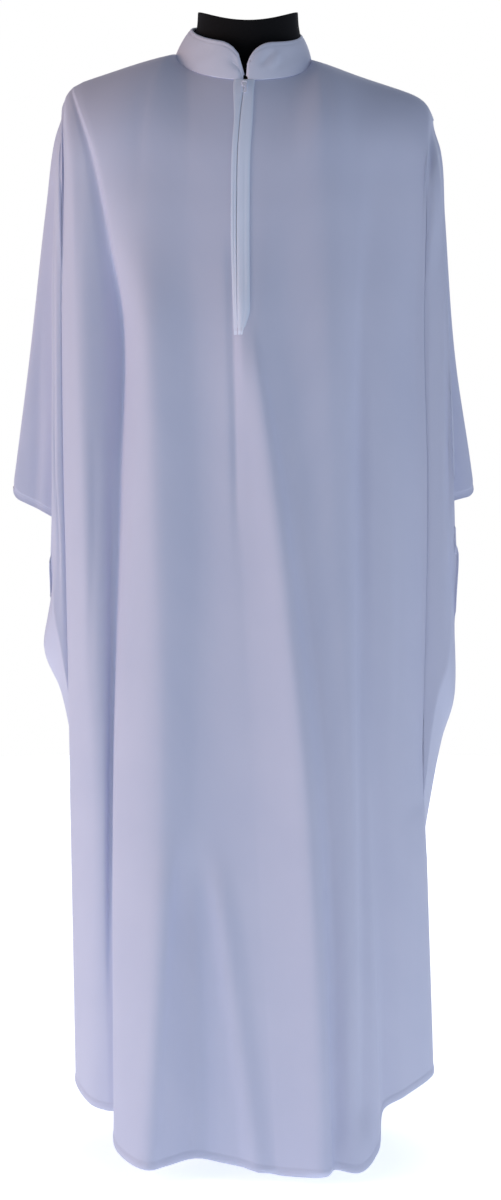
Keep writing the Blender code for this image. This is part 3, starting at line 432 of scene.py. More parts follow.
# Columns: crease, push, width to the left and right, x and z of its start and end, how far it
# bows at a third and at two thirds of the way, shares of its length that fade in and out.
FRONT_CREASES = [
    ("middle ridge", 5.2, 19, 6, 0, 1100, 98, 8, 19, 19, 0.08, 0.01),
    ("foot of the middle ridge", -3.4, 5, 6, -22, 1220, -13, 760, 0, 0, 0.2, 0.4),
    ("ridge under the zip", 2.4, 7, 9, -10, 1150, -3, 960, 0, 0, 0.3, 0.4),
    ("trough beside it", -3.0, 7, 11, 18, 1080, 113, 30, 19, 19, 0.15, 0.05),
    ("long line", -7.5, 13, 7, 140, 1180, 152, 40, 2, 1, 0.25, 0.05),
    ("ridge by the long line", 2.0, 12, 9, 124, 1180, 134, 60, 2, 1, 0.2, 0.1),
    ("hem trough", -8.0, 24, 18, -78, 450, -60, 8, 0, 3, 0.3, 0.01),
    ("hem trough's right lip", 8.0, 10, 15, -46, 440, 12, 8, 0, 0, 0.25, 0.01),
    ("hem trough's left lip", 7.0, 20, 8, -92, 460, -124, 8, -3, -2, 0.25, 0.01),
    ("short tuck by the lip", -1.0, 5, 8, -122, 330, -146, 60, 2, 1, 0.5, 0.4),
    ("shallow trough", -2.0, 26, 22, -40, 1100, -52, 480, -6, -3, 0.3, 0.4),
    ("line in the tuck", -3.6, 4, 3, -175, 960, -180, 160, 2, 1, 0.25, 0.3),
    ("crease by the tuck", -1.5, 4, 6, -205, 1010, -194, 560, 5, -3, 0.3, 0.3),
    ("fine shoulder crease", -0.8, 4, 4, -216, 1340, -213, 1000, 2, -2, 0.3, 0.4),
    ("ridge by the tuck", 1.6, 5, 7, -147, 1010, -152, 470, 3, -4, 0.4, 0.4),
    ("far side crease", -1.2, 6, 5, 187, 900, 196, 380, 4, -3, 0.35, 0.4),
    ("far side line", 0.9, 5, 7, 203, 640, 214, 120, 3, -2, 0.3, 0.2),
    ("edge at the hem", 1.6, 7, 3, 158, 420, 171, 24, 3, 1, 0.5, 0.01),
    ("soft dent on the chest", -1.4, 30, 34, 70, 1190, 86, 980, 4, 0, 0.5, 0.5),
    ("soft dent at the waist", -1.2, 22, 28, 60, 860, 92, 560, -5, 3, 0.5, 0.5),
]
BACK_CREASES = [
    ("left long line", -1.6, 9, 6, -104, 1240, -96, 60, 4, -5, 0.12, 0.06),
    ("left ridge", 1.8, 6, 10, -156, 1080, -150, 420, -4, 3, 0.3, 0.4),
    ("middle line", 1.2, 8, 6, 18, 1180, 30, 300, 5, -3, 0.2, 0.4),
    ("middle trough", -2.0, 18, 14, -24, 760, -34, 30, -4, 4, 0.4, 0.02),
    ("right trough", -2.2, 16, 20, 102, 820, 112, 24, 5, -3, 0.4, 0.02),
    ("right ridge", 1.6, 8, 6, 160, 1160, 166, 500, 3, 4, 0.3, 0.3),
    ("hem fan, left", 2.0, 9, 12, -84, 360, -104, 20, 3, 0, 0.5, 0.01),
    ("hem fan, right", 2.2, 12, 9, 52, 420, 70, 20, -3, 2, 0.5, 0.01),
    ("short crease", -1.0, 5, 5, 196, 980, 190, 640, 3, -2, 0.4, 0.4),
    ("yoke drag, left", -0.9, 8, 6, -150, 1310, -112, 1130, -5, 0, 0.4, 0.5),
    ("yoke drag, right", -0.9, 6, 9, 152, 1300, 118, 1120, 5, 0, 0.4, 0.5),
]


def unit(vectors):
    """Vectors scaled to length 1."""
    return vectors / np.maximum(np.linalg.norm(vectors, axis=-1, keepdims=True), 1e-12)


def bands_down(start, end, rows):
    """Places down a piece in bands, evenly spaced but closer together in the last half band."""
    return np.concatenate((np.linspace(start, end - 0.5, rows),
                           np.linspace(end - 0.5, end, HEM_ROWS)[1:]))


def across(lines, quads):
    """Grid of points from fold lines (rows x lines x 3), with so many quads from line to line.

    Each row is a smooth curve: a cubic between each two lines, whose slope at a line is the mean
    of its neighbours' slopes. The curve's parameter grows with the root of the lines' distance.
    """
    gaps = np.sqrt(np.linalg.norm(np.diff(lines, axis=1), axis=2, keepdims=True))
    rises = np.diff(lines, axis=1) / gaps
    inner = (rises[:, :-1] * gaps[:, 1:] + rises[:, 1:] * gaps[:, :-1]) / (gaps[:, :-1] + gaps[:, 1:])
    slopes = np.concatenate((rises[:, :1], inner, rises[:, -1:]), axis=1)
    line = np.repeat(np.arange(len(quads)), quads)
    share = np.concatenate([np.arange(count) / count for count in quads])[None, :, None]
    grid = cubic(share, lines[:, line], lines[:, line + 1],
                 slopes[:, line] * gaps[:, line], slopes[:, line + 1] * gaps[:, line])
    return np.concatenate((grid, lines[:, -1:]), axis=1)


def top_edge(seats, front):
    """Points of a panel's top edge.

    Seats within 0.5 lie on the neckline, half an ellipse that dips in front and rises behind; its
    +X side leans in and falls with the square of the sine. The others lie on the shoulder seam, a
    straight slope that bends down at the tip.
    """
    seats = np.atleast_1d(seats)
    angle = math.pi * seats
    leaning = np.sin(np.clip(angle, 0, math.pi / 2)) ** 2
    depth, rise = (-NECK_FRONT, -NECK_FRONT_DROP) if front else (NECK_BACK, NECK_BACK_RISE)
    neck = np.stack((NECK_HALF_WIDTH * np.sin(angle) - NECK_LEAN * leaning, depth * np.cos(angle),
                     NECK_SIDE_Z + rise * np.abs(np.cos(angle)) - NECK_FALL * leaning), axis=1)
    side = np.where(seats > 0, 1, -1)
    tip_x = np.where(side > 0, SHOULDER_TIP_X[1], SHOULDER_TIP_X[-1])
    end_z = np.where(side > 0, SHOULDER_END_Z[1], SHOULDER_END_Z[-1])
    share = np.clip((np.abs(seats) - 0.5) / 0.5, 0, 1)
    start_x, start_z = NECK_HALF_WIDTH - NECK_LEAN * leaning, NECK_SIDE_Z - NECK_FALL * leaning
    shoulder = np.stack((side * (start_x + (tip_x - start_x) * share), 0 * share,
                         start_z + (end_z - start_z) * share
                         - TIP_DROP * share ** TIP_ROUND_POWER), axis=1)
    return np.where(np.abs(seats)[:, None] <= 0.5, neck, shoulder)


def drop_line(top, roll, late, stations, hem_z, bands):
    """A line of points from the top edge over the shoulder and down to the hem.

    Down to the yoke it is a blend of a quarter ellipse (roll 1) and a straight line (roll 0), and
    below that a smooth curve through the stations' (x, y). late is the share of its sideways way
    that it makes as it falls, the rest as it comes forward.
    """
    share = np.clip(bands / YOKE_BAND, 0, 1)
    out = (1 - roll) * share + roll * np.sin(share * math.pi / 2)
    down = (1 - roll) * share + roll * (1 - np.cos(share * math.pi / 2))
    yoke = np.array((*stations[0], YOKE_Z))
    aside = out + (down - out) * late
    upper = top + (yoke - top) * np.stack((aside, out, down), axis=1)
    z = YOKE_Z + (hem_z - YOKE_Z) * np.clip((bands - YOKE_BAND) / (HEM_BAND - YOKE_BAND), 0, 1)
    level = curve_at(-np.array((YOKE_Z, CHEST_Z, ELBOW_Z, THIGH_Z, hem_z)), stations, -z)
    return np.where(bands[:, None] < YOKE_BAND, upper, np.column_stack((level, z)))


def seam_line(side, front, bands):
    """Armhole edge and side seam. The armhole opens down to the yoke as a quarter sine and
    closes as a square root above the underarm point."""
    underarm, *places, hem_z = SEAMS[side]
    stations = np.array([(x * MM, 0.0) for x in places])
    line = drop_line(top_edge(float(side), True)[0], 1.0, 0.0, stations, hem_z * MM, bands)
    opening = np.sin(np.clip(bands / YOKE_BAND, 0, 1) * math.pi / 2)
    opening *= np.sqrt(np.clip((underarm - bands) / CLOSING_BANDS, 0, 1))
    line[:, 1] = opening * ARMHOLE_HALF_WIDTH[side] * (-1 if front else 1)
    return line


def panel_quads(folds):
    """Quads from each line of a panel to the next, from side seam to side seam."""
    return [SEAM_QUADS] + [row[1] for row in folds]


def panel_seats(folds):
    """Seat of each column of a panel's points."""
    marks = np.concatenate(([0], np.cumsum(panel_quads(folds))))
    return np.interp(np.arange(marks[-1] + 1), marks, [-1.0] + [row[2] for row in folds] + [1.0])


def ease_yoke(grid, bands):
    """Even out the bend that the lines take at the yoke: a running mean of rows, taken several
    times and blended in as a bell curve about the yoke. The seams stay where they are."""
    eased, half = grid, EASE_ROWS // 2
    for _ in range(EASE_TIMES):
        padded = np.concatenate((eased[:1].repeat(half, 0), eased, eased[-1:].repeat(half, 0)))
        total = np.cumsum(np.concatenate((0 * padded[:1], padded)), axis=0)
        eased = (total[EASE_ROWS:] - total[:-EASE_ROWS]) / EASE_ROWS
    near = np.exp(-((bands - YOKE_BAND) / EASE_BANDS) ** 2)[:, None, None]
    column = np.arange(grid.shape[1])
    inner = smooth_step(np.minimum(column, column[::-1]) / EASE_COLUMNS)[None, :, None]
    return grid + (eased - grid) * near * inner


def panel_grid(folds, front, bands):
    """Points of a panel: its fold lines joined across, with the top edge set exactly."""
    lines = [seam_line(-1, front, bands)]
    for _, _, seat, *numbers, hem_z in folds:
        stations = np.array(numbers).reshape(5, 2) * MM
        roll = CENTRE_ROLL + (1 - CENTRE_ROLL) * min(abs(seat) / 0.5, 1.0) ** 2
        late = smooth_step((abs(seat) - 0.6) / 0.3)
        lines.append(drop_line(top_edge(seat, front)[0], roll, late, stations, hem_z * MM, bands))
    lines.append(seam_line(1, front, bands))
    grid = across(np.stack(lines, axis=1), panel_quads(folds))
    fade = np.clip(1 - bands / YOKE_BAND, 0, 1)[:, None, None]
    grid = grid + (top_edge(panel_seats(folds), front) - grid[0]) * fade
    return ease_yoke(grid, bands)


def grid_normals(grid, flip=False):
    """Unit normals at a grid's points: the cross product of the two directions through each."""
    normals = unit(np.cross(np.gradient(grid, axis=0), np.gradient(grid, axis=1)))
    return -normals if flip else normals


def press(grid, normals, creases, share=1.0):
    """Raise or sink soft creases along the normals, in full or by a share given point by point.

    A crease runs from (x, z) to (x, z) and bows sideways by two distances, at a third and at two
    thirds of the way, as a cubic that is nothing at both ends. It is a bell curve across, with its
    own width on each side, and fades in and out over the first and last share of its length.
    """
    lift = np.zeros(grid.shape[:2])
    for _, push, left, right, x0, z0, x1, z1, bow_one, bow_two, fade_in, fade_out in creases:
        way = np.array((x1 - x0, z1 - z0)) * MM
        length = math.hypot(*way)
        from_start = grid[..., 0::2] - np.array((x0, z0)) * MM
        along = from_start @ way / length ** 2
        aside = (from_start[..., 0] * way[1] - from_start[..., 1] * way[0]) / -length
        share_in = np.clip(along, 0, 1)
        bow = bow_one * (2 / 3 - share_in) + bow_two * (share_in - 1 / 3)
        off = aside - BOW * share_in * (1 - share_in) * bow * MM
        width = np.where(off < 0, left, right) * MM
        ends = smooth_step(along / max(fade_in, 1e-3)) * smooth_step((1 - along) / max(fade_out, 1e-3))
        lift += push * MM * np.exp(-(off / width) ** 2) * ends
    return grid + normals * (lift * share)[..., None]


def lengths_along(points):
    """Distance along a path, or down each column of a grid, at each of its points."""
    steps = np.linalg.norm(np.diff(points, axis=0), axis=-1)
    return np.concatenate((0 * steps[:1], np.cumsum(steps, axis=0)))


def read_at(places, lengths, points):
    """Points of a path read at distances along it."""
    return np.stack([np.interp(places, lengths, points[:, axis]) for axis in range(3)], axis=1)


def from_hem(grid):
    """Distance of each point from its column's last point, along the column."""
    return lengths_along(grid[::-1])[::-1]


def turn_up(grid, flip=False):
    """Thicken the hem by its turned-up layers: a soft step at the stitching, pulled down a little
    along it, and rounded off towards the fold. Returns the new points and their normals."""
    height = from_hem(grid)
    step = smooth_step((HEM_TURN + 1.2 * MM - height) / (2.4 * MM))
    fold = np.exp(-(height / (1.2 * MM)) ** 2)
    seam = np.exp(-((height - HEM_STITCH_LINE) / (1.1 * MM)) ** 2)
    raised = HEM_STEP * (step - 0.5 * fold - 0.4 * seam)
    grid = grid + grid_normals(grid, flip) * raised[..., None]
    return grid, grid_normals(grid, flip)


def line_above_hem(grid, height):
    """Points at a height above the hem, one in each column."""
    heights = from_hem(grid)
    row = np.argmax(heights < height, axis=0)
    column = np.arange(grid.shape[1])
    upper, lower = heights[row - 1, column], heights[row, column]
    share = ((upper - height) / (upper - lower))[:, None]
    return grid[row - 1, column] * (1 - share) + grid[row, column] * share


def pull_in(grid, normals):
    """Move a piece's top and side edges half a gap off their seams, square to the seam and its
    normal."""
    moved = grid.copy()
    for edge, inner in ((np.s_[0, :], np.s_[1, :]), (np.s_[:, 0], np.s_[:, 1]),
                        (np.s_[:, -1], np.s_[:, -2])):
        along = unit(np.gradient(grid[edge], axis=0))
        way = grid[inner] - grid[edge]
        way -= along * np.sum(way * along, axis=-1, keepdims=True)
        way -= normals[edge] * np.sum(way * normals[edge], axis=-1, keepdims=True)
        moved[edge] += SEAM_GAP / 2 * unit(way)
    return moved


def cloth_uv(grid):
    """Weave coordinates in metres: the distance across from the middle column and down from the
    top row, each measured along the cloth."""
    over = lengths_along(grid.swapaxes(0, 1)).T
    return np.stack((over - over[:, [grid.shape[1] // 2]], lengths_along(grid)), axis=-1)


def cloth(name, node, grid, material, flip=False, skip=None, thick=CLOTH_THICK,
          weld=0.0, shares=None):
    """A piece of cloth in place of its solid: the grid as its outer face and a wall inwards from
    it. shares gives each row's share of the full thickness."""
    piece = surface(name, grid, material, uv=cloth_uv(grid), flip=flip, skip=skip, weld=weld)
    shell = piece.modifiers.new("wall", "SOLIDIFY")
    if shares is not None:
        group = piece.vertex_groups.new(name="thickness")
        for row, share in zip(np.arange(grid[..., 0].size).reshape(grid.shape[:2]), shares):
            group.add(row.tolist(), float(share), "REPLACE")
        shell.vertex_group = group.name
    shell.thickness = thick
    shell.offset = -1.0
    shell.use_even_offset = False
    return stand_for(piece, node)


def spindles(name, starts, ends, normals, radius, material):
    """Small rounded bars from starts to ends: seven rings of eight points whose radius follows the
    root of a sine, arched a little along the normals, with a cap at each end."""
    way = unit(ends - starts)
    upward = unit(normals - way * np.sum(normals * way, axis=1, keepdims=True))
    sideways = np.cross(way, upward)
    starts, way, upward, sideways = (vectors[:, None, None]
                                     for vectors in (starts, ends - starts, upward, sideways))
    share = np.linspace(0, 1, 7)[None, :, None, None]
    round_off = 0.3 + 0.7 * np.sqrt(np.sin(share * math.pi).clip(0))
    turn = (np.arange(8) * math.pi / 4)[None, None, :, None]
    middle = starts + way * share + upward * np.sin(share * math.pi) * radius * 0.5
    points = middle + (sideways * np.cos(turn) + upward * np.sin(turn)) * round_off * radius
    index = np.arange(len(starts) * 56).reshape(-1, 7, 8)
    next_on = np.roll(index, -1, axis=2)
    sides = np.stack((index[:, :-1], index[:, 1:], next_on[:, 1:], next_on[:, :-1]), axis=-1)
    faces = sides.reshape(-1, 4).tolist() + index[:, 0].tolist() + index[:, -1, ::-1].tolist()
    return mesh_object(name, points, faces, material)


def stitches(name, path, normals):
    """A row of machine stitches along a path, each a spindle two thirds of the pitch long."""
    lengths = lengths_along(path)
    starts = np.arange(STITCH_PITCH, lengths[-1] - STITCH_PITCH, STITCH_PITCH)
    row = spindles(name, read_at(starts, lengths, path),
                   read_at(starts + STITCH_PITCH * STITCH_SHARE, lengths, path),
                   unit(read_at(starts, lengths, normals)), STITCH_RADIUS, white_thread)
    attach(row, ROBE)
    return row


def hem_stitches(name, grid, normals, ends):
    """The row of stitches that holds a hem, leaving out so many columns at each end."""
    return stitches(name, line_above_hem(grid, HEM_STITCH_LINE)[ends:-ends], normals[-5, ends:-ends])


def thread():
    """Spun white thread: a fine twist in the bump and a faint sheen."""
    material, tree, shader = new_material("white_thread", (0.66, 0.67, 0.82), 0.6,
                                          {"Sheen Weight": 0.2})
    place = add_node(tree, "TexCoord", "Object")
    twist = add_node(tree, "TexWave", "Fac", {"Vector": place, "Scale": 900.0},
                     bands_direction="DIAGONAL")
    set_inputs(tree, shader, {"Normal": bump(tree, twist, 0.3, 0.0001)})
    return material


def ramp(tree, value, start, end):
    """Colours between two, each given with its place from 0 to 1."""
    node = tree.nodes.new("ShaderNodeValToRGB")
    for element, (place, colour) in zip(node.color_ramp.elements, (start, end)):
        element.position, element.color = place, (*colour, 1.0)
    set_inputs(tree, node, {"Fac": value})
    return node.outputs["Color"]


def white_crepe(name, colour, tint):
    """White crepe: a fine plain weave and a pebbled crimp in the bump, faint cloudy shading of its
    colour, and a soft sheen."""
    material, tree, shader = new_material(name, colour, 0.72, {
        "Sheen Weight": 0.25, "Sheen Roughness": 0.45, "Sheen Tint": (0.85, 0.88, 1.0, 1.0),
        "Specular IOR Level": 0.3})
    place = add_node(tree, "UVMap", "UV", uv_map="weave")
    cloud = add_node(tree, "TexNoise", "Fac", {"Vector": place, "Scale": 9.0, "Detail": 5.0})
    thread_wave = {"Vector": place, "Scale": 320.0, "Distortion": 0.8, "Detail Scale": 3.0}
    weft = add_node(tree, "TexWave", "Fac", thread_wave, bands_direction="X")
    warp = add_node(tree, "TexWave", "Fac", thread_wave, bands_direction="Y")
    weave = add_node(tree, "Math", "Value", {0: weft, 1: warp}, operation="MAXIMUM")
    crimp = add_node(tree, "TexNoise", "Fac", {"Vector": place, "Scale": 420.0, "Detail": 3.0})
    relief = add_node(tree, "Mix", "Result", {"Factor": 0.6, "A": weave, "B": crimp})
    set_inputs(tree, shader, {"Base Color": ramp(tree, cloud, (0.3, tint), (0.7, colour)),
                              "Roughness": spread(tree, crimp, 0.64, 0.80),
                              "Normal": bump(tree, relief, 0.22, 0.0003)})
    return material


def make_panel(name, node, behind, folds, creases, skip=None):
    """A panel and its hem's stitches, from its tables of folds and creases. Returns the points of
    its outer face and their normals."""
    grid = panel_grid(folds, not behind, bands)
    grid = press(grid, grid_normals(grid, behind), creases, BACK_PRESSING if behind else 1.0)
    grid, normals = turn_up(grid, behind)
    piece = cloth(name, node, pull_in(grid, normals), crepe, flip=behind, skip=skip)
    row = hem_stitches(name.replace("panel", "hem_stitches"), grid, normals, 2)
    return grid, normals


crepe = white_crepe("white_crepe", (0.60, 0.63, 0.80), (0.57, 0.605, 0.78))
white_thread = thread()
bands = bands_down(0, HEM_BAND, PANEL_ROWS)
slit_row = np.argmin(np.abs(bands - SLIT_BAND))
bands[slit_row] = SLIT_BAND
quads = panel_quads(FRONT_FOLDS)
slit_start = sum(quads[:SLIT_LINE])
slit_end = slit_start + quads[SLIT_LINE]
slit_cells = np.zeros((len(bands) - 1, sum(quads)), bool)
slit_cells[:slit_row, slit_start:slit_end] = True
front, front_normals = make_panel("front_panel", "robe_front", False, FRONT_FOLDS, FRONT_CREASES,
                                  skip=slit_cells)
back, _ = make_panel("back_panel", "robe_back", True, BACK_FOLDS, BACK_CREASES)


# ---- Sleeves ----
# Two very wide sleeves of the same crepe, each cut in one piece, folded along the overarm, set into
# the armhole and closed by a short underarm seam. They hang down flat, open at the cuff.

# Columns: fold line, quads to the next line, x and y at the cap, upper, lower, cuff and end
# stations, z of the end. The back half of a sleeve mirrors the front half.
SLEEVE_FOLDS = {
    -1: [
        ("underarm", 12, -240, -52, -241, -54, -241, -56, -242, -55, -246, -54, 599),
        ("lower corner", 12, -242, -47, -245, -51, -246, -55, -250, -52, -269, -50, 658),
        ("cuff edge", 12, -243, -37, -247, -45, -248, -51, -251, -47, -257, -31, 726),
        ("cuff crest", 8, -245, -28, -249, -37, -251, -44, -253, -43, -255, -39, 796),
        ("cuff hollow", 22, -246, -15, -245, -18, -241, -20, -240, -18, -241, -17, 821),
        ("overarm", 0, -250, 0, -262, 0, -286, 0, -303, 0, -310, 0, 860),
    ],
    1: [
        ("underarm", 14, 234, -55, 234, -56, 238, -57, 243, -56, 256, -55, 536),
        ("lower corner", 14, 238, -52, 242, -53, 250, -55, 258, -53, 272, -50, 591),
        ("cuff edge", 14, 243, -44, 249, -48, 259, -50, 263, -46, 270, -33, 704),
        ("cuff crest", 8, 245, -29, 251, -40, 262, -47, 267, -47, 268, -43, 814),
        ("cuff hollow", 18, 246, -15, 247, -17, 251, -20, 252, -20, 252, -19, 846),
        ("overarm", 0, 250, 0, 256, 0, 272, 0, 291, 0, 298, 0, 862),
    ],
}
SLEEVE_STATIONS = np.array((0.0, 0.08, 0.25, 0.65, 0.9, 1.0))
# Where each fold line starts on the sleeve's head, counted in half bands from the front armhole.
HEAD_PLACES = np.array((1.0, 3.0, 4.0, 5.0, 6.0, 8.0))
ARMHOLE_QUADS = 8
HEAD_FADE = 3                   # bands over which the head's exact shape fades
CORNER_RADIUS = 13 * MM
# Columns as for the panels' creases; the first table is for a sleeve's front half.
SLEEVE_CREASES = {
    -1: ([("crease by the seam", -1.0, 4, 4, -247, 1270, -254, 780, -2, 2, 0.3, 0.3),
          ("soft fold", 1.4, 8, 6, -262, 1150, -284, 760, -3, 2, 0.4, 0.2),
          ("trough", -1.3, 7, 9, -258, 1050, -274, 730, 3, -2, 0.4, 0.2)],
         [("soft fold", 1.5, 7, 9, -256, 1180, -278, 740, 3, -2, 0.3, 0.2),
          ("trough", -1.4, 8, 6, -250, 1000, -262, 690, -2, 2, 0.4, 0.3)]),
    1: ([("crease by the seam", -0.9, 4, 4, 246, 1240, 258, 740, 2, -2, 0.3, 0.3),
         ("soft fold", 1.3, 6, 8, 252, 1120, 276, 720, 3, -1, 0.4, 0.2)],
        [("soft fold", 1.4, 9, 7, 254, 1190, 274, 730, -3, 2, 0.3, 0.2),
         ("trough", -1.5, 6, 8, 248, 1020, 262, 640, 2, -3, 0.4, 0.3),
         ("short crease", -0.9, 5, 5, 262, 900, 276, 700, 0, 1, 0.4, 0.3)]),
}
UNDERARM_GAP = 2.0 * MM
SLEEVE_ROWS = 190
LEAST_SEAM_DEPTH = 1.3 * MM     # of the sewn part of each half, so that the halves stay apart


def head_points(side, places):
    """Points of the sleeve's head, at places counted in half bands from the front armhole."""
    ahead = seam_line(side, True, np.clip(HEAD_BAND - places / 2, 0, HEAD_BAND))
    behind = seam_line(side, False, np.clip(places / 2 - HEAD_BAND, 0, HEAD_BAND))
    return np.where(places[:, None] <= 2 * HEAD_BAND, ahead, behind)


def sleeve_grid(side, bands):
    """Points of a sleeve, from the front armhole over the overarm to the back armhole.

    Each fold line leaves the head and runs to the cuff through its stations; how far along it is
    follows the armhole's height. The two halves close on each other at the underarm seam with the
    same square root as the armhole.
    """
    armhole = seam_line(side, True, bands)
    progress = (armhole[0, 2] - armhole[:, 2]) / (armhole[0, 2] - armhole[-1, 2])
    to_underarm = SEAMS[side][0] - bands
    closing = np.sqrt(np.clip(to_underarm / CLOSING_BANDS, 0, 1))
    lines, counts = [armhole], [ARMHOLE_QUADS]
    for start, (fold, count, *numbers, end_z) in zip(head_points(side, HEAD_PLACES),
                                                     SLEEVE_FOLDS[side]):
        stations = np.vstack((start[:2], np.array(numbers).reshape(5, 2) * MM))
        x, y = curve_at(SLEEVE_STATIONS, stations, progress).T
        if fold in ("underarm", "lower corner"):
            y = y * closing
        lines.append(np.column_stack((x, y, start[2] + (end_z * MM - start[2]) * progress)))
        counts.append(count)
    lines += [line * (1.0, -1.0, 1.0) for line in lines[-2::-1]]
    counts = counts[:-1] + counts[-2::-1]
    grid = across(np.stack(lines, axis=1), counts)
    marks = np.concatenate(([0], np.cumsum(counts)))
    column = np.arange(marks[-1] + 1)
    places = np.concatenate(([0], HEAD_PLACES, 16 - HEAD_PLACES[-2::-1], [16]))
    head = head_points(side, np.interp(column, marks, places))
    grid += (head - grid[0]) * np.clip(1 - (bands - bands[0]) / HEAD_FADE, 0, 1)[:, None, None]
    half = np.where(column < marks[-1] / 2, -1, 1)
    sewn = np.minimum(column, marks[-1] - column) <= marks[2]
    depth = np.maximum(grid[..., 1] * half, LEAST_SEAM_DEPTH)
    depth *= np.clip(to_underarm / 0.1, 0, 1)[:, None]
    grid[..., 1] = np.where(sewn, depth * half, grid[..., 1])
    return grid


def round_corner(grid):
    """Round the cuff's outer corner: near the overarm its edge rises as a quarter circle, and the
    cloth above gives way over four radii."""
    steps = lengths_along(grid[-1])
    near = np.clip(1 - np.abs(steps - steps[len(steps) // 2]) / CORNER_RADIUS, 0, 1)
    rise = CORNER_RADIUS * (1 - np.sqrt(1 - near ** 2))
    fade = smooth_step(1 - from_hem(grid) / (4 * CORNER_RADIUS))
    return grid + unit(grid[-8] - grid[-1]) * (rise * fade)[..., None]


for name, side in (("sleeve_left", 1), ("sleeve_right", -1)):
    flip = side > 0
    sleeve = round_corner(sleeve_grid(side, bands_down(HEAD_BAND, SEAMS[side][0], SLEEVE_ROWS)))
    for creases, half in zip(SLEEVE_CREASES[side], (-1, 1)):
        weight = smooth_step(half * sleeve[..., 1] / (8 * MM))
        sleeve = press(sleeve, grid_normals(sleeve, flip), creases, weight)
    sleeve, normals = turn_up(sleeve, flip)
    moved = pull_in(sleeve, normals)
    for edge, inner in ((0, 1), (-1, -2)):
        moved[-1, edge] = sleeve[-1, edge] + unit(sleeve[-1, inner] - sleeve[-1, edge]) * UNDERARM_GAP
    piece = cloth(name + "_cloth", name, moved, crepe, flip=flip, weld=1e-5)
    row = hem_stitches(name + "_cuff_stitches", sleeve, normals, 10)


# ---- Collar ----
# A stand collar: two layers of crepe over a light interlining, sewn to the neckline, its front
# ends rounded down to the zip, its upper edge topstitched.

COLLAR_TOP_HALF_WIDTH, COLLAR_TOP_FRONT, COLLAR_TOP_BACK = 69.5 * MM, 76 * MM, 66 * MM
COLLAR_TOP_X, COLLAR_TOP_FALL = -1.8 * MM, 8 * MM
COLLAR_TOP_SIDE_Z, COLLAR_TOP_FRONT_DROP, COLLAR_TOP_BACK_RISE = 1463 * MM, 28 * MM, 12 * MM
COLLAR_FRONT_ROUND, COLLAR_ROUND_POWER, COLLAR_LEAST_HEIGHT = 40 * MM, 2.2, 0.13
COLLAR_BULGE, COLLAR_THICK, COLLAR_ROWS = 1.5 * MM, 2.5 * MM, 33
COLLAR_STITCH_DROP, GROOVE_WIDTH, GROOVE_DEPTH = 4 * MM, 0.9 * MM, 0.5 * MM
EDGE_ROUND, EDGE_ROUND_DEPTH = 1.1 * MM, 0.7 * MM
COLLAR_CREASES = [
    ("dimple", -2.4, 5, 4, -20, 1418, -9, 1399, 1, 0, 0.4, 0.4),
    ("lip over the dimple", 1.0, 3, 4, -12, 1422, -3, 1404, 1, 0, 0.4, 0.4),
    ("pucker 1", -1.8, 4, 5, 16, 1402, 32, 1430, 1, 0, 0.4, 0.4),
    ("pucker 2", -1.9, 5, 4, 33, 1400, 54, 1432, -1, 1, 0.4, 0.4),
    ("pucker 3", 1.2, 4, 4, 26, 1400, 43, 1430, 0, 1, 0.4, 0.4),
    ("pucker 4", -1.2, 4, 4, 54, 1408, 68, 1438, 1, 0, 0.4, 0.4),
    ("fold on the right half", -1.2, 6, 4, -64, 1412, -46, 1442, 1, 0, 0.4, 0.4),
]


def collar_grid(rows):
    """Points of the collar, from its upper edge down to the neckline, from one front end round
    the neck to the other.

    The lower edge is the panels' own neckline; the upper edge is two half ellipses above it. The
    height falls as a superellipse towards the ends, and the middle bulges as a half sine.
    """
    inside = [np.flatnonzero(np.abs(panel_seats(folds)) <= 0.5 + 1e-9)
              for folds in (FRONT_FOLDS, BACK_FOLDS)]
    low = np.vstack((front[0, slit_end:inside[0][-1]], back[0, inside[1]][::-1],
                     front[0, inside[0][0] + 1:slit_start + 1]))
    reach = np.where(low[:, 1] < 0, NECK_FRONT, NECK_BACK)
    angle = np.arctan2(low[:, 0] / (NECK_HALF_WIDTH - NECK_LEAN * (low[:, 0] > 0)), -low[:, 1] / reach)
    cosine, leaning = np.cos(angle), np.sin(angle).clip(0) ** 2
    high = np.stack((COLLAR_TOP_X + COLLAR_TOP_HALF_WIDTH * np.sin(angle),
                     -np.where(cosine > 0, COLLAR_TOP_FRONT, COLLAR_TOP_BACK) * cosine,
                     COLLAR_TOP_SIDE_Z - COLLAR_TOP_FALL * leaning + np.abs(cosine)
                     * np.where(cosine > 0, -COLLAR_TOP_FRONT_DROP, COLLAR_TOP_BACK_RISE)), axis=1)
    steps = lengths_along(low)
    flat = np.clip(1 - np.minimum(steps, steps[-1] - steps) / COLLAR_FRONT_ROUND, 0.0, 1.0)
    height = (1 - flat ** COLLAR_ROUND_POWER) ** (1 / COLLAR_ROUND_POWER)
    height = COLLAR_LEAST_HEIGHT + (1 - COLLAR_LEAST_HEIGHT) * height
    up = np.linspace(1.0, 0.0, rows)[:, None, None]
    grid = low + unit(high - low) * SEAM_GAP + (high - low) * height[:, None] * up
    return grid + grid_normals(grid) * np.sin(up * math.pi) * COLLAR_BULGE * height[:, None]


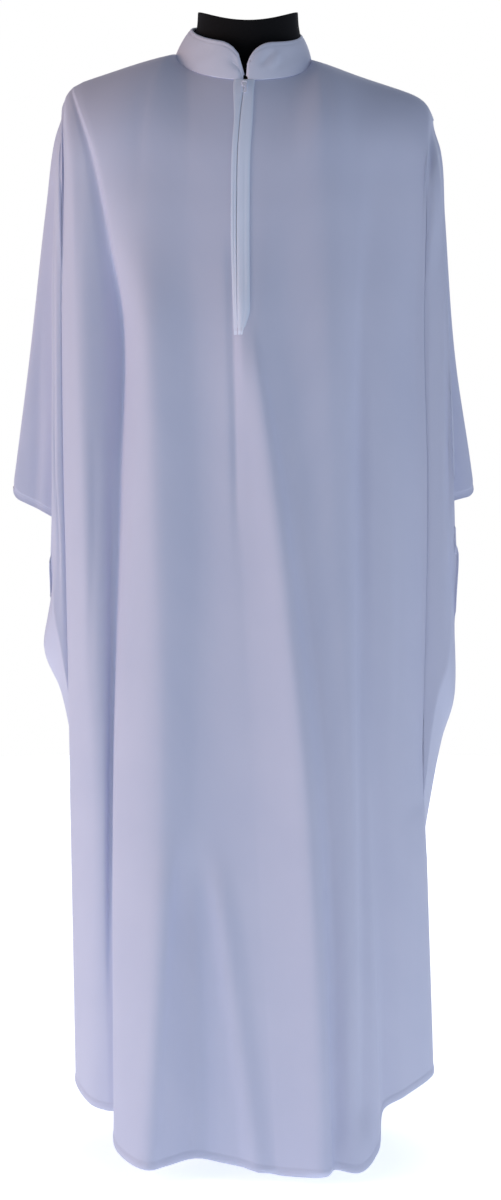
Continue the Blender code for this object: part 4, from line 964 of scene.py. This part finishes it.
collar = collar_grid(COLLAR_ROWS)
collar = press(collar, grid_normals(collar), COLLAR_CREASES, smooth_step(-collar[..., 1] / (20 * MM)))
collar_normals = grid_normals(collar)
height = np.linalg.norm(collar[0] - collar[-1], axis=1)
from_edge = np.linalg.norm(collar - collar[:1], axis=2)
groove = np.exp(-((from_edge - COLLAR_STITCH_DROP) / GROOVE_WIDTH) ** 2) \
    * smooth_step((height - 10 * MM) / (6 * MM))
edge_round = np.exp(-(from_edge / EDGE_ROUND) ** 2)
sunk = groove * GROOVE_DEPTH + edge_round * EDGE_ROUND_DEPTH
collar = collar - collar_normals * sunk[..., None]
layered_crepe = white_crepe("layered_crepe", (0.74, 0.77, 0.93), (0.70, 0.735, 0.90))
collar_piece = cloth("collar_band", "collar", collar, layered_crepe, thick=COLLAR_THICK)
seam_row = np.argmax(np.median(from_edge, axis=1) > COLLAR_STITCH_DROP)
collar_stitches = stitches("collar_stitches", collar[seam_row, 8:-8], collar_normals[seam_row, 8:-8])


# ---- Zip: stitched bands, tape and chain ----
# The panel's edges are turned to the inside beside the zip and stitched down as two flat bands. A
# woven tape with a nylon coil chain lies behind the slit.

BAND_BANDS = 11
BAND_LIFT, BAND_END_LIFT, BAND_THICK = 1.6 * MM, 0.2 * MM, 1.1 * MM
BAND_END_SHARE = 0.12           # of the full thickness, where a band thins out at its end
BAND_SPLIT = 0.3 * MM
BAND_TOP_WIDTHS, BAND_WIDTHS = {-1: 14 * MM, 1: 12 * MM}, {-1: 7 * MM, 1: 16 * MM}
BAND_TAPER, BAND_END_CUT = 4, {-1: 0.1, 1: 0.55}
BAND_COLUMNS, BAND_STITCH_COLUMNS, BAND_TUCK_COLUMN = 13, [1, 11], 7
BAND_EDGE_ROLL, BAND_PINCH, BAND_TUCK = 0.35 * MM, 0.25 * MM, 0.4 * MM
# The last row of points of a band, the tape and the chain.
BAND_LAST, TAPE_LAST, CHAIN_LAST = BAND_BANDS - 0.2, BAND_BANDS - 0.7, SLIT_BAND - 0.1
TAPE_HALF_WIDTH, TAPE_THICK, TAPE_DEPTH = 13 * MM, 1.0 * MM, 2.0 * MM
CHAIN_HALF_WIDTH, TOOTH_PITCH, TOOTH_RADIUS = 2.2 * MM, 1.3 * MM, 0.55 * MM


def slit_strip(offsets, lift):
    """Grid of points beside the slit, row by row from the neckline down.

    offsets gives each row's distances along the panel from the slit's middle, and lift its height
    off the panel.
    """
    lines = []
    for points, normals, wanted, raised in zip(front, front_normals, offsets, lift):
        line = points + normals * raised
        lengths = lengths_along(line)
        lines.append(read_at((lengths[slit_start] + lengths[slit_end]) / 2 + wanted, lengths, line))
    return np.array(lines)


def bands_to(last_band):
    """Places of the panel's rows in bands, from the neckline down to one of them."""
    return bands[bands <= last_band + 1e-6]


def band_heights(places):
    """Lift of a band off the panel, row by row: it thins out softly over its last band."""
    return BAND_LIFT - (BAND_LIFT - BAND_END_LIFT) * smooth_step((places - BAND_BANDS + 1.3) / 1.1)


def band_widths(side, places):
    """Width of a band, row by row: from its top width to its full one, and cut off aslant."""
    full = BAND_TOP_WIDTHS[side] + (BAND_WIDTHS[side] - BAND_TOP_WIDTHS[side]) \
        * smooth_step(places / BAND_TAPER)
    return full * (1 - BAND_END_CUT[side] * smooth_step((places - BAND_BANDS + 0.9) / 0.7))


def zip_band(name, side):
    """A band on one side of the slit: its edges rolled under, pinched at its two rows of stitches
    and with a tuck along it. Where it thins out, the outer face is set back to its height."""
    places = bands_to(BAND_LAST)
    widths = band_widths(side, places)
    across_it = np.linspace(0, 1, BAND_COLUMNS)[::side]
    strip = slit_strip(side * (BAND_SPLIT + widths[:, None] * across_it), band_heights(places))
    normals = grid_normals(strip)
    inset = np.abs(np.linspace(-1, 1, BAND_COLUMNS))
    sunk = np.tile(BAND_EDGE_ROLL * inset ** 6, (len(places), 1))
    sunk[:, BAND_STITCH_COLUMNS] += BAND_PINCH
    sunk[:, BAND_TUCK_COLUMN] += BAND_TUCK * smooth_step((places - 4) / 3)
    strip = strip - normals * sunk[..., None]
    thinned = (BAND_LIFT - band_heights(places)) / (BAND_LIFT - BAND_END_LIFT)
    shares = 1 - (1 - BAND_END_SHARE) * thinned
    piece = cloth(name + "_cloth", name, strip + normals * (BAND_THICK * (1 - shares))[:, None, None],
                  band_crepe, thick=BAND_THICK, shares=shares)
    rows = [stitches(f"{name}_stitches_{number}", strip[3:-3, column], normals[3:-3, column])
            for number, column in enumerate(BAND_STITCH_COLUMNS, 1)]


def woven_tape():
    """White polyester tape: a twill of fine slanting lines, in its colour and its bump."""
    material, tree, shader = new_material("woven_tape", (0.74, 0.75, 0.88), 0.65)
    place = add_node(tree, "UVMap", "UV", uv_map="weave")
    twill = add_node(tree, "TexWave", "Fac", {"Vector": place, "Scale": 260.0, "Distortion": 0.6},
                     bands_direction="DIAGONAL")
    colours = ramp(tree, twill, (0.0, (0.66, 0.68, 0.84)), (1.0, (0.78, 0.79, 0.90)))
    set_inputs(tree, shader, {"Base Color": colours, "Normal": bump(tree, twill, 0.5, 0.0002)})
    return material


def white_nylon():
    """Moulded nylon: smooth, slightly translucent, with a faint drawn grain."""
    material, tree, shader = new_material("white_nylon", (0.74, 0.76, 0.88), 0.35, {
        "Subsurface Weight": 0.1, "Subsurface Scale": 0.001})
    set_inputs(tree, shader, {"Roughness": spread(tree, noise_on(tree, 1500.0), 0.28, 0.45)})
    return material


band_crepe = white_crepe("band_crepe", (0.75, 0.83, 1.0), (0.72, 0.80, 0.98))
zip_band("zip_band_right", -1)
zip_band("zip_band_left", 1)

rows = len(bands_to(TAPE_LAST))
tape_grid = slit_strip(np.tile(np.linspace(-TAPE_HALF_WIDTH, TAPE_HALF_WIDTH, 17), (rows, 1)),
                       np.full(rows, -TAPE_DEPTH))
tape = cloth("zip_tape_woven", "zip_tape", tape_grid, woven_tape(),
             thick=TAPE_THICK)

rows = len(bands_to(CHAIN_LAST))
chain = slit_strip(np.tile([-CHAIN_HALF_WIDTH, 0.0, CHAIN_HALF_WIDTH], (rows, 1)),
                   np.full(rows, -TOOTH_RADIUS))
lengths = lengths_along(chain[:, 1])
teeth = np.arange(2 * MM, lengths[-1], TOOTH_PITCH)
coil = spindles("zip_coil", read_at(teeth, lengths, chain[:, 0]), read_at(teeth, lengths, chain[:, 2]),
                read_at(teeth, lengths, grid_normals(chain)[:, 1]), TOOTH_RADIUS, white_nylon())
stand_for(coil, "zip_chain")


# ---- Zip: slider and pull tab ----
# Cast in zinc and enamelled white. The slider sits at the top of the chain; its bridge carries a
# pin, and the pull tab's eye turns on that pin.

PULL = "pull"
PIN_PLACE = np.array((-4.18, -94.77, 1386.28)) * MM
SLIDER_LEAN = math.radians(29.3)        # from upright, back towards the neck
SLIDER_HALF_WIDTH, SLIDER_HALF_LENGTH, SLIDER_THICK = 4.4 * MM, 5.0 * MM, 2.2 * MM
PIN_RADIUS, PIN_HALF_LENGTH, PIN_HEIGHT, POST_HALF_WIDTH = 0.6 * MM, 3.0 * MM, 1.8 * MM, 0.5 * MM
EYE_RADIUS, EYE_HOLE_RADIUS, EYE_HALF_WIDTH = 1.35 * MM, 0.9 * MM, 1.6 * MM
PULL_LENGTH, PULL_HALF_WIDTH, PULL_THICK = 17 * MM, 2.7 * MM, 1.2 * MM
SIDEWAYS = np.array((1.0, 0.0, 0.0))
UPWARD = np.array((0.0, math.sin(SLIDER_LEAN), math.cos(SLIDER_LEAN)))
OUTWARD = np.array((0.0, -math.cos(SLIDER_LEAN), math.sin(SLIDER_LEAN)))


def slab(outline, low, high, place, axes, hole=None):
    """Points and faces of a plate: an outline in the plane of the first two axes, from low to high
    along the third. A hole has as many points as the outline, point for point beside it."""
    loops = [np.asarray(outline)] + ([] if hole is None else [np.asarray(hole)])
    count = len(outline)
    points = np.vstack([place + loop @ np.array(axes[:2]) + axes[2] * level
                        for loop in loops for level in (low, high)])
    here = np.arange(count)
    after = (here + 1) % count

    def belt(first, second):
        """Quads round the outline from one loop to another, given by their first points."""
        return np.stack((here + first, after + first, after + second, here + second), axis=1).tolist()

    faces = belt(0, count)
    if hole is None:
        faces += [here[::-1].tolist(), (here + count).tolist()]
    else:
        faces += belt(3 * count, 2 * count) + belt(2 * count, 0) + belt(count, 3 * count)
    order = -1 if np.dot(np.cross(axes[0], axes[1]), axes[2]) < 0 else 1
    return points, [face[::order] for face in faces]


def cast_piece(name, node, slabs, bevel, body):
    """One enamelled object of several plates with rounded edges, in place of its solid."""
    starts = np.cumsum([0] + [len(points) for points, _ in slabs]).tolist()
    faces = [[number + start for number in face]
             for start, (_, plate) in zip(starts, slabs) for face in plate]
    thing = mesh_object(name, np.vstack([points for points, _ in slabs]), faces, enamel)
    edges = thing.modifiers.new("edges", "BEVEL")
    edges.width = bevel
    edges.segments = 3
    edges.limit_method = "ANGLE"
    edges.angle_limit = math.radians(40)
    edges.harden_normals = True
    stand_for(thing, node, body)


def superellipse(half_width, half_height, power=1, count=40):
    """Outline of a superellipse: the sine and cosine each to a power. A power of 1 is an ellipse."""
    turn = np.arange(count) * 2 * math.pi / count
    return np.stack((half_width * signed_power(np.cos(turn), power),
                     half_height * signed_power(np.sin(turn), power)), axis=1)


def white_enamel():
    """Baked enamel: glossy, with a fine orange peel."""
    material, tree, shader = new_material("white_enamel", (0.76, 0.78, 0.90), 0.25,
                                          {"Coat Weight": 0.3})
    set_inputs(tree, shader, {"Normal": bump(tree, noise_on(tree, 1200.0), 0.15, 0.0001)})
    return material


enamel = white_enamel()
flat_axes, side_axes = (SIDEWAYS, UPWARD, OUTWARD), (UPWARD, OUTWARD, SIDEWAYS)
turn = np.linspace(0, 2 * math.pi, 41)[:-1]
shield = np.stack((SLIDER_HALF_WIDTH * np.cos(turn) * (0.8 + 0.2 * np.sin(turn)),
                   SLIDER_HALF_LENGTH * signed_power(np.sin(turn), 0.7)), axis=1)
slider_place = PIN_PLACE - OUTWARD * (SLIDER_THICK + PIN_HEIGHT) - UPWARD * SLIDER_HALF_LENGTH * 0.3
foot = -PIN_HEIGHT - SLIDER_THICK / 2
post = [(-1.3 * PIN_RADIUS, foot), (1.3 * PIN_RADIUS, foot), (1.3 * PIN_RADIUS, 0.3 * PIN_RADIUS),
        (0.7 * PIN_RADIUS, PIN_RADIUS), (-0.7 * PIN_RADIUS, PIN_RADIUS),
        (-1.3 * PIN_RADIUS, 0.3 * PIN_RADIUS)]
parts = [slab(shield, 0.0, SLIDER_THICK, slider_place, flat_axes)]
for side in (-1, 1):
    middle = side * (PIN_HALF_LENGTH - POST_HALF_WIDTH)
    parts.append(slab(post, middle - POST_HALF_WIDTH, middle + POST_HALF_WIDTH, PIN_PLACE, side_axes))
reach = PIN_HALF_LENGTH - POST_HALF_WIDTH / 2
parts.append(slab(superellipse(PIN_RADIUS, PIN_RADIUS, count=20), -reach, reach, PIN_PLACE, side_axes))
cast_piece("zip_slider_cast", "zip_slider", parts, 0.2 * MM, ROBE)

tab_middle = np.array((0.0, -(PULL_LENGTH + EYE_RADIUS) / 2))
tab_half = (PULL_LENGTH - EYE_RADIUS) / 2
tab = superellipse(PULL_HALF_WIDTH, tab_half, 0.6)
tab[:, 0] *= 0.82 - 0.18 * np.sin(turn)
slot_hole = superellipse(PULL_HALF_WIDTH * 0.42, tab_half * 0.55, 0.7) - (0.0, 1.5 * MM)
plate = slab(tab + tab_middle, -PULL_THICK / 2, PULL_THICK / 2, PIN_PLACE, flat_axes,
             hole=slot_hole + tab_middle)
eye = slab(superellipse(EYE_RADIUS, EYE_RADIUS, count=32), -EYE_HALF_WIDTH, EYE_HALF_WIDTH,
           PIN_PLACE, side_axes, hole=superellipse(EYE_HOLE_RADIUS, EYE_HOLE_RADIUS, count=32))
cast_piece("zip_pull_tab", "zip_pull", [plate, eye], 0.18 * MM, PULL)
